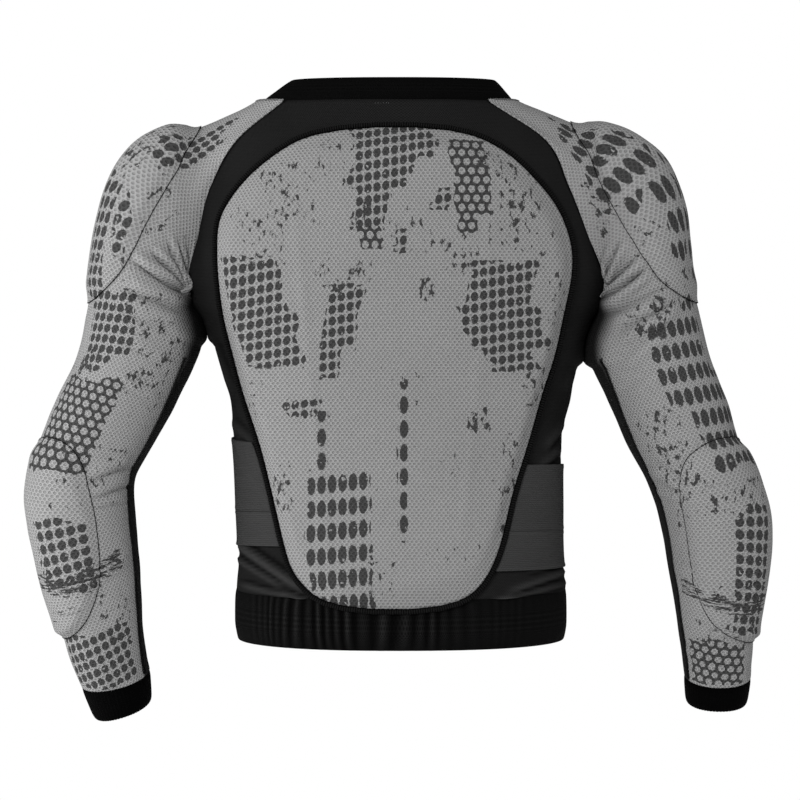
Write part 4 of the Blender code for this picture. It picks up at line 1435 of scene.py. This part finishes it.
# %% Zigzag seams
def zigzag(points, ways, swing, lift):
    """A path that swings across a line of points, on the surface's way out."""
    path = []
    for number, (point, way) in enumerate(zip(points, ways)):
        after = points[min(number + 1, len(points) - 1)]
        before = points[max(number - 1, 0)]
        across = (after - before).normalized().cross(way)
        path.append(point + across * swing * (1 if number % 2 else -1) + way * lift)
    return path


OVERLOCK_START, OVERLOCK_RUN, STITCHES = 8.2, 7.65, 440  # sleeve sections, and swings
for side, word in ((-1, "left"), (1, "right")):
    for edge, sign in (("back", 1), ("front", -1)):
        places = [OVERLOCK_START + OVERLOCK_RUN * step / STITCHES for step in range(STITCHES + 1)]
        turns = [sign * strip_turn(place) for place in places]
        line = [sleeve_point(side, place, turn) for place, turn in zip(places, turns)]
        ways = [sleeve_way(side, place, turn) for place, turn in zip(places, turns)]
        folds = [sleeve_folds(side, place, turn) for place, turn in zip(places, turns)]
        seat = [p + w * (f + 0.0023) for p, w, f in zip(line, ways, folds)]
        path = zigzag(seat, ways, 0.0022, 0.0006)
        seam = round_cord("overlocked_" + edge + "_seam_" + word, path, 0.0009, False, sides=5)
        finish_piece(seam, overlock, "piping_black")
    turns = [-40 + 80 * step / 150 for step in range(151)]
    line = [sleeve_point(side, 0.03, turn) for turn in turns]
    ways = [sleeve_way(side, 0.06, turn) for turn in turns]
    seat = [p + w * 0.0020 for p, w in zip(line, ways)]
    path = zigzag(seat, ways, 0.0011, 0.0005)
    edge = round_cord("collar_zigzag_" + word, path, 0.0004, False, sides=5)
    finish_piece(edge, pale_thread, "mesh_grey")

# %% [markdown]
# ## Binding inside the slanted seams
#
# Where sleeve and body meet, the seam's edges are bound on the inside, so no light comes
# through. A soft round cord just behind the seam line stands for that binding.

# %% Seam binding
BINDING, BINDING_DEPTH, BINDING_TURN = 0.0022, 0.0019, 42
for side, word in ((-1, "left"), (1, "right")):
    path = []
    for step in range(401):
        turn = BINDING_TURN + (360 - 2 * BINDING_TURN) * step / 400
        down, reach = armhole_place(side, turn if turn <= 180 else turn - 360)
        path.append(body_point(side, down, reach) - body_way(side, down, reach) * BINDING_DEPTH)
    binding = round_cord("seam_binding_" + word, path, BINDING, False, sides=6)
    finish_piece(binding, thread, "piping_black")

# %% [markdown]
# ## Tack stitches
#
# A few pale stitches under the collar hold the layers at the neck. They are one thread
# that dips through the cloth and comes out again, so one thin cord makes them all.

# %% Tack stitches
TACK_LEFT, TACK_TOP, TACK_STEP, TACK_LENGTH = -0.0262, 0.0022, 0.0030, 0.0022
tacks = [
    Vector((TACK_LEFT + TACK_STEP * (step // 2), TACK_TOP + TACK_LENGTH * (step % 2)))
    for step in range(12)
]
tack_path = []
for step, tack in enumerate(tacks):
    spot = back_point(tack.x, tack.y / BODY_LENGTH)
    tack_path.append(spot + Vector((0, -0.0004 if step % 2 else 0.0010, 0)))
neck_tack = round_cord("neck_tack_stitches", tack_path, 0.0003, False, sides=5)
finish_piece(neck_tack, pale_thread, "mesh_grey")

# %% [markdown]
# ## Collar
#
# The collar is a soft stand with a rolled top edge. A welt, a closed strip whose section
# has round corners, is the form that collar, hem and cuffs share, so one helper makes it.


# %% Collar
def welt(surface, wall, s, t, middle=Vector((0, 0, 0))):
    """A closed strip with rolled edges: t goes once round its section."""
    angle = 2 * math.pi * (t - 0.5)
    c, d = math.cos(angle), math.sin(angle)
    deep = (1 - math.copysign(abs(c) ** 0.4, c)) / 2
    point = surface(s, 0.5 + 0.5 * math.copysign(abs(d) ** 0.5, d))
    inward = Vector((middle.x - point.x, middle.y - point.y, 0)).normalized()
    return point + inward * deep * wall


def round_turn(s):
    """From once round the jacket to a side and its turn."""
    turn = 360.0 * s
    angle = math.radians(turn)
    side = 1 if math.cos(angle) >= -1e-9 else -1
    return side, math.degrees(math.atan2(math.sin(angle), abs(math.cos(angle))))


def collar_point(s, t):
    """On the stand: s goes round the neck, t up from the seam."""
    side, turn = round_turn(s)
    tuck = smoothstep((0.16 - t) / 0.16)
    base = body_point(side, 0.0, turn) - body_way(side, 0.0, turn) * (COLLAR_INSET + 0.0006 * tuck)
    foot, top = (0.545, 0.527) if side < 0 else (0.455, 0.473)
    ease = t**0.9
    base.x *= 1 + (COLLAR_TOP_WIDTH * top / (NECK_WIDTH * foot) - 1) * ease
    base.y *= 1 + (COLLAR_TOP_DEPTH / NECK_DEPTH - 1) * ease
    base.z += COLLAR_LIFT + COLLAR_HEIGHT * t - 0.0045 * tuck
    return base


collar = lay_cloth(
    "soft_collar", 200, 44, lambda s, t: welt(collar_point, 0.0038, s, t),
    folds=lambda s, t: 0.0008 * bell((t - 0.5) / 0.12) - 0.0005 * bell((t - 0.30) / 0.02),
    chart=lambda s, t: (s * 0.72, t * 0.06), closed=True, out=Vector((-1, 0, 0)), wall=0,
)
finish_piece(collar, collar_cloth, "collar_black", "collar")

# %% [markdown]
# ## Hem band
#
# An elastic gathers the hem, so narrow pleats stand close together at the middle of the
# back and fade towards the sides. A cosine gives the pleats, and a list of swings makes
# them uneven, as a real gather is. Their ridges carry a painted highlight, and their
# valleys painted shade.

# %% Hem band
PLEATS, PLEAT_RISE = 84, 0.0023
hem_swings = [0.5 + 0.5 * math.sin(k * 2.399) for k in range(PLEATS)]


def hem_pleat(s, t):
    """Pleats of uneven width that lean a little, strongest at the middle of the back."""
    side, turn = round_turn(s)
    lean = 0.004 * math.sin(s * 2 * math.pi * 9) * (t - 0.5)
    step = (s + lean + 0.0035 * math.sin(s * 2 * math.pi * 13)) % 1.0 * PLEATS
    this, following = hem_swings[int(step) % PLEATS], hem_swings[int(step + 1) % PLEATS]
    strength = this * (1 - step % 1) + following * (step % 1)
    wave = math.cos(step * 2 * math.pi)
    pleat = (math.copysign(abs(wave) ** 1.6, wave)) * (0.25 + 0.75 * strength)
    behind = smoothstep((turn - 20) / 40) if turn > 0 else 0.5
    left = 1.0 if side < 0 else 0.15 + 0.70 * smoothstep((turn - 68) / 22)
    hold = 0.35 + 0.65 * smoothstep(t * 1.4)
    return pleat * behind * left * hold


def hem_level(t):
    """How high in the band a place of its section lies: 0 below, 1 at the top edge."""
    return 0.5 + 0.5 * math.sin(math.pi * (t - 0.5) * 2)


def hem_gathers(s, t):
    """Pleats out on the outer side and in on the inner side."""
    rise = PLEAT_RISE * hem_pleat(s, hem_level(t)) + 0.0006
    return rise * math.cos(math.pi * (t - 0.5) * 2)


def hem_point(s, t):
    side, turn = round_turn(s)
    return body_point(side, 1.0 - (1.0 - HEM_START) * t, turn)


hem = lay_cloth(
    "gathered_hem", 768, 56, lambda s, t: welt(hem_point, 0.0028, s, t),
    # The pleats' painted light: a painted highlight on their ridges, painted shade in their valleys.
    folds=hem_gathers, paint=lambda s, t: [max(-0.35, 1.5 * hem_pleat(s, hem_level(t)))],
    chart=lambda s, t: (s * 0.94, t * 0.12), closed=True, out=Vector((-1, 0, 0)), wall=0,
)
finish_piece(hem, hem_cloth, "cloth_black", "hem_band")

# %% [markdown]
# ## Cuffs
#
# The cuffs are snug black bands that carry on where the sleeve ends and narrow a little
# to the hand. They are welts on the sleeve's last section, swung with the arm.

# %% Cuffs
CUFF_TURN = {
    # how the outer and the inner line run on: across and down each, and the narrowing
    -1: (-0.42, 1.03, -0.06, 0.98, 0.97),
    1: (-0.13, 0.85, 0.06, 0.85, 0.97),
}
for side, word in ((-1, "left"), (1, "right")):
    def cuff_point(s, t, side=side):
        out_across, out_down, in_across, in_down, narrowing = CUFF_TURN[side]
        out_x, out_z, in_x, in_z, deep, bend = SLEEVES[side][-1]
        share = CUFF_GAP / CUFF_LENGTH + (1 - CUFF_GAP / CUFF_LENGTH) * t
        outer = Vector((side * out_x * SLEEVE_REACH, 0, -out_z * SLEEVE_DROP))
        inner = Vector((side * in_x * SLEEVE_REACH, 0, -in_z * SLEEVE_DROP))
        outer += Vector((side * out_across, 0, -out_down)) * CUFF_LENGTH * share
        inner += Vector((side * in_across, 0, -in_down)) * CUFF_LENGTH * share
        half = deep * SHOULDER_DEPTH / 2 * (1 + (narrowing - 1) * share)
        turn = 360.0 * s - 180
        point = oval(outer, inner, half, lean(bend) + 0.02 * CUFF_LENGTH * share, turn)
        point.z -= wrist_hang(WRIST, turn) * (1 - 0.25 * share)
        return point

    wrist = (cuff_point(0.5, 0.5) + cuff_point(0.0, 0.5)) / 2
    cuff = lay_cloth(
        "snug_cuff_" + word, 300, 32,
        lambda s, t, point=cuff_point, wrist=wrist: welt(
            lambda a, b: point(a, 1 - b), 0.0026, s, t, wrist),
        folds=lambda s, t: 0.0025 * (0.5 + 0.5 * math.cos(2 * math.pi * (t - 0.5)))
        + 0.0002 * math.sin(s * 2 * math.pi * 60),
        chart=lambda s, t: (s * 0.22, t * 0.08), closed=True, out=Vector((side, 0, 0)), wall=0,
    )
    finish_piece(cuff, cuff_cloth, "cloth_black", "cuff_" + word)

# %% [markdown]
# ## Belts
#
# Two wide elastic belts come out from beside the padded panel on each side and run round
# to the front, one above the other. Each is a thin strip laid on the body, ribbed along
# its length, with a thicker edge above and below. It lies on the folds of the knit.

# %% Belts
BELT_TUCK, BELT_END = 0.0064, -56.25  # metres clear of the panel, degrees on the front
BELTS = {
    # name: (side, top, bottom, slant)
    "belt_upper_left": (-1, 0.603, 0.749, 0.020),
    "belt_lower_left": (-1, 0.7497, 0.812, 0.0),
    "belt_upper_right": (1, 0.664, 0.785, 0.0),
    "belt_lower_right": (1, 0.7857, 0.858, 0.0),
}


def panel_half(side, down):
    """How far the padded panel reaches across at a height."""
    place = (down * BODY_LENGTH - PROTECTOR_TOP) / PROTECTOR_LENGTH
    left, right = smooth_row(OUTLINE, place)
    return (right + OUTLINE_MIDDLE if side > 0 else left - OUTLINE_MIDDLE) * PROTECTOR_WIDTH


for name, (side, top, bottom, slant) in BELTS.items():
    def belt_place(s, t, side=side, top=top, bottom=bottom, slant=slant):
        level = 1 - t
        down = top + (bottom - top) * level
        start = turn_at(side, down, panel_half(side, down) + BELT_TUCK)
        turn = start + (BELT_END - start) * s
        down = top + slant * (1 - s) * t
        return side, down + (bottom - down) * level, turn

    belt = lay_cloth(
        "elastic_" + name, 90, 26,
        lambda s, t, place=belt_place: body_point(*place(s, t)),
        folds=lambda s, t, place=belt_place: (
            BELT_GAP + 0.0006 + 0.2 * max(0.0, body_folds(*place(s, t)))
            + 0.0004 * bell((t - 0.04) / 0.03) + 0.0004 * bell((t - 0.96) / 0.03)
        ),
        chart=lambda s, t, top=top, bottom=bottom: (s * 0.20, (bottom - top) * BODY_LENGTH * t),
        out=Vector((side, 0, 0)), wall=0.0014,
    )
    finish_piece(belt, belt_elastic, "elastic_dark", name)

# %% [markdown]
# ## Studio
#
# The jacket hangs over a pale floor in a white room. A white room alone would light every
# side alike and show no form. So the world is white where it is seen, but lights the
# cloth weakly, and three soft boxes do the rest. The strongest stands before the padded
# back, to the left of the camera, which leaves the right of each form a little darker.


# %% Lights
def soft_light(name, place, target, size, watts):
    data = bpy.data.lights.new(name, "AREA")
    data.energy, data.size = watts, size
    lamp = bpy.data.objects.new(name, data)
    lamp.location = place
    lamp.rotation_euler = (Vector(target) - Vector(place)).to_track_quat("-Z", "Y").to_euler()
    bpy.context.scene.collection.objects.link(lamp)


soft_light("left box", (-3.5, -0.5, 0.3), (0, 0, -0.3), 1.6, 110)
soft_light("right box", (2.9, -1.4, 2.1), (0, 0, -0.2), 1.6, 62)
soft_light("front box", (-1.6, -4.6, 1.3), (0, 0, -0.3), 1.6, 196)
print("lights:", len(bpy.data.lights))

# %% Floor
FLOOR_LEVEL, FLOOR_RADIUS = -0.95, 2.45
bm = bmesh.new()
bmesh.ops.create_circle(bm, cap_ends=True, segments=96, radius=FLOOR_RADIUS)
bmesh.ops.translate(bm, verts=bm.verts, vec=(0, 0, FLOOR_LEVEL))
floor = made("pale_floor", bm)
pale = Nodes("pale floor")
pale.link(pale.mix(pale.noise(pale.place(), 3.0), (0.80, 0.80, 0.80, 1), (0.84, 0.84, 0.84, 1)),
          pale.shader.inputs["Base Color"])
pale.shader.inputs["Roughness"].default_value = 0.9
pale.shader.inputs["Emission Color"].default_value = (1, 1, 1, 1)
pale.shader.inputs["Emission Strength"].default_value = 0.30
floor.data.materials.append(pale.material)

# %% World
ROOM_LIGHT, ROOM_SEEN = 0.15, 1.0
world = bpy.data.worlds.new("studio")
world.use_nodes = True
tree = world.node_tree
room = tree.nodes["Background"]
room.inputs[0].default_value = (1, 1, 1, 1)
ray = tree.nodes.new("ShaderNodeLightPath")
level = tree.nodes.new("ShaderNodeMapRange")
level.inputs["To Min"].default_value, level.inputs["To Max"].default_value = ROOM_LIGHT, ROOM_SEEN
tree.links.new(ray.outputs["Is Camera Ray"], level.inputs["Value"])
tree.links.new(level.outputs[0], room.inputs[1])
bpy.context.scene.world = world
bpy.context.scene.view_settings.view_transform = "Standard"
print("room light:", ROOM_LIGHT)

# %% [markdown]
# ## Camera
#
# The camera looks straight at the back, from six metres with a long lens, which keeps the
# jacket's proportions. It is set so that the middle of the neck falls on the pixel where
# the photograph has it.

# %% Camera
METRES_PER_PIXEL, DISTANCE, PICTURE = 0.0011, 6.0, 800
NECK_ACROSS, NECK_DOWN = 399, 103  # pixels, from the picture's top left corner
camera = bpy.data.cameras.new("camera")
camera.sensor_width = 36.0
camera.lens = camera.sensor_width * DISTANCE / (PICTURE * METRES_PER_PIXEL)
camera.clip_end = 100
eye = bpy.data.objects.new("camera", camera)
eye.location = (
    (PICTURE / 2 - NECK_ACROSS) * METRES_PER_PIXEL, -DISTANCE, (NECK_DOWN - PICTURE / 2) * METRES_PER_PIXEL
)
eye.rotation_euler = (math.radians(90), 0, 0)
bpy.context.scene.collection.objects.link(eye)
bpy.context.scene.camera = eye
print("lens:", round(camera.lens, 1), "mm")

# %% [markdown]
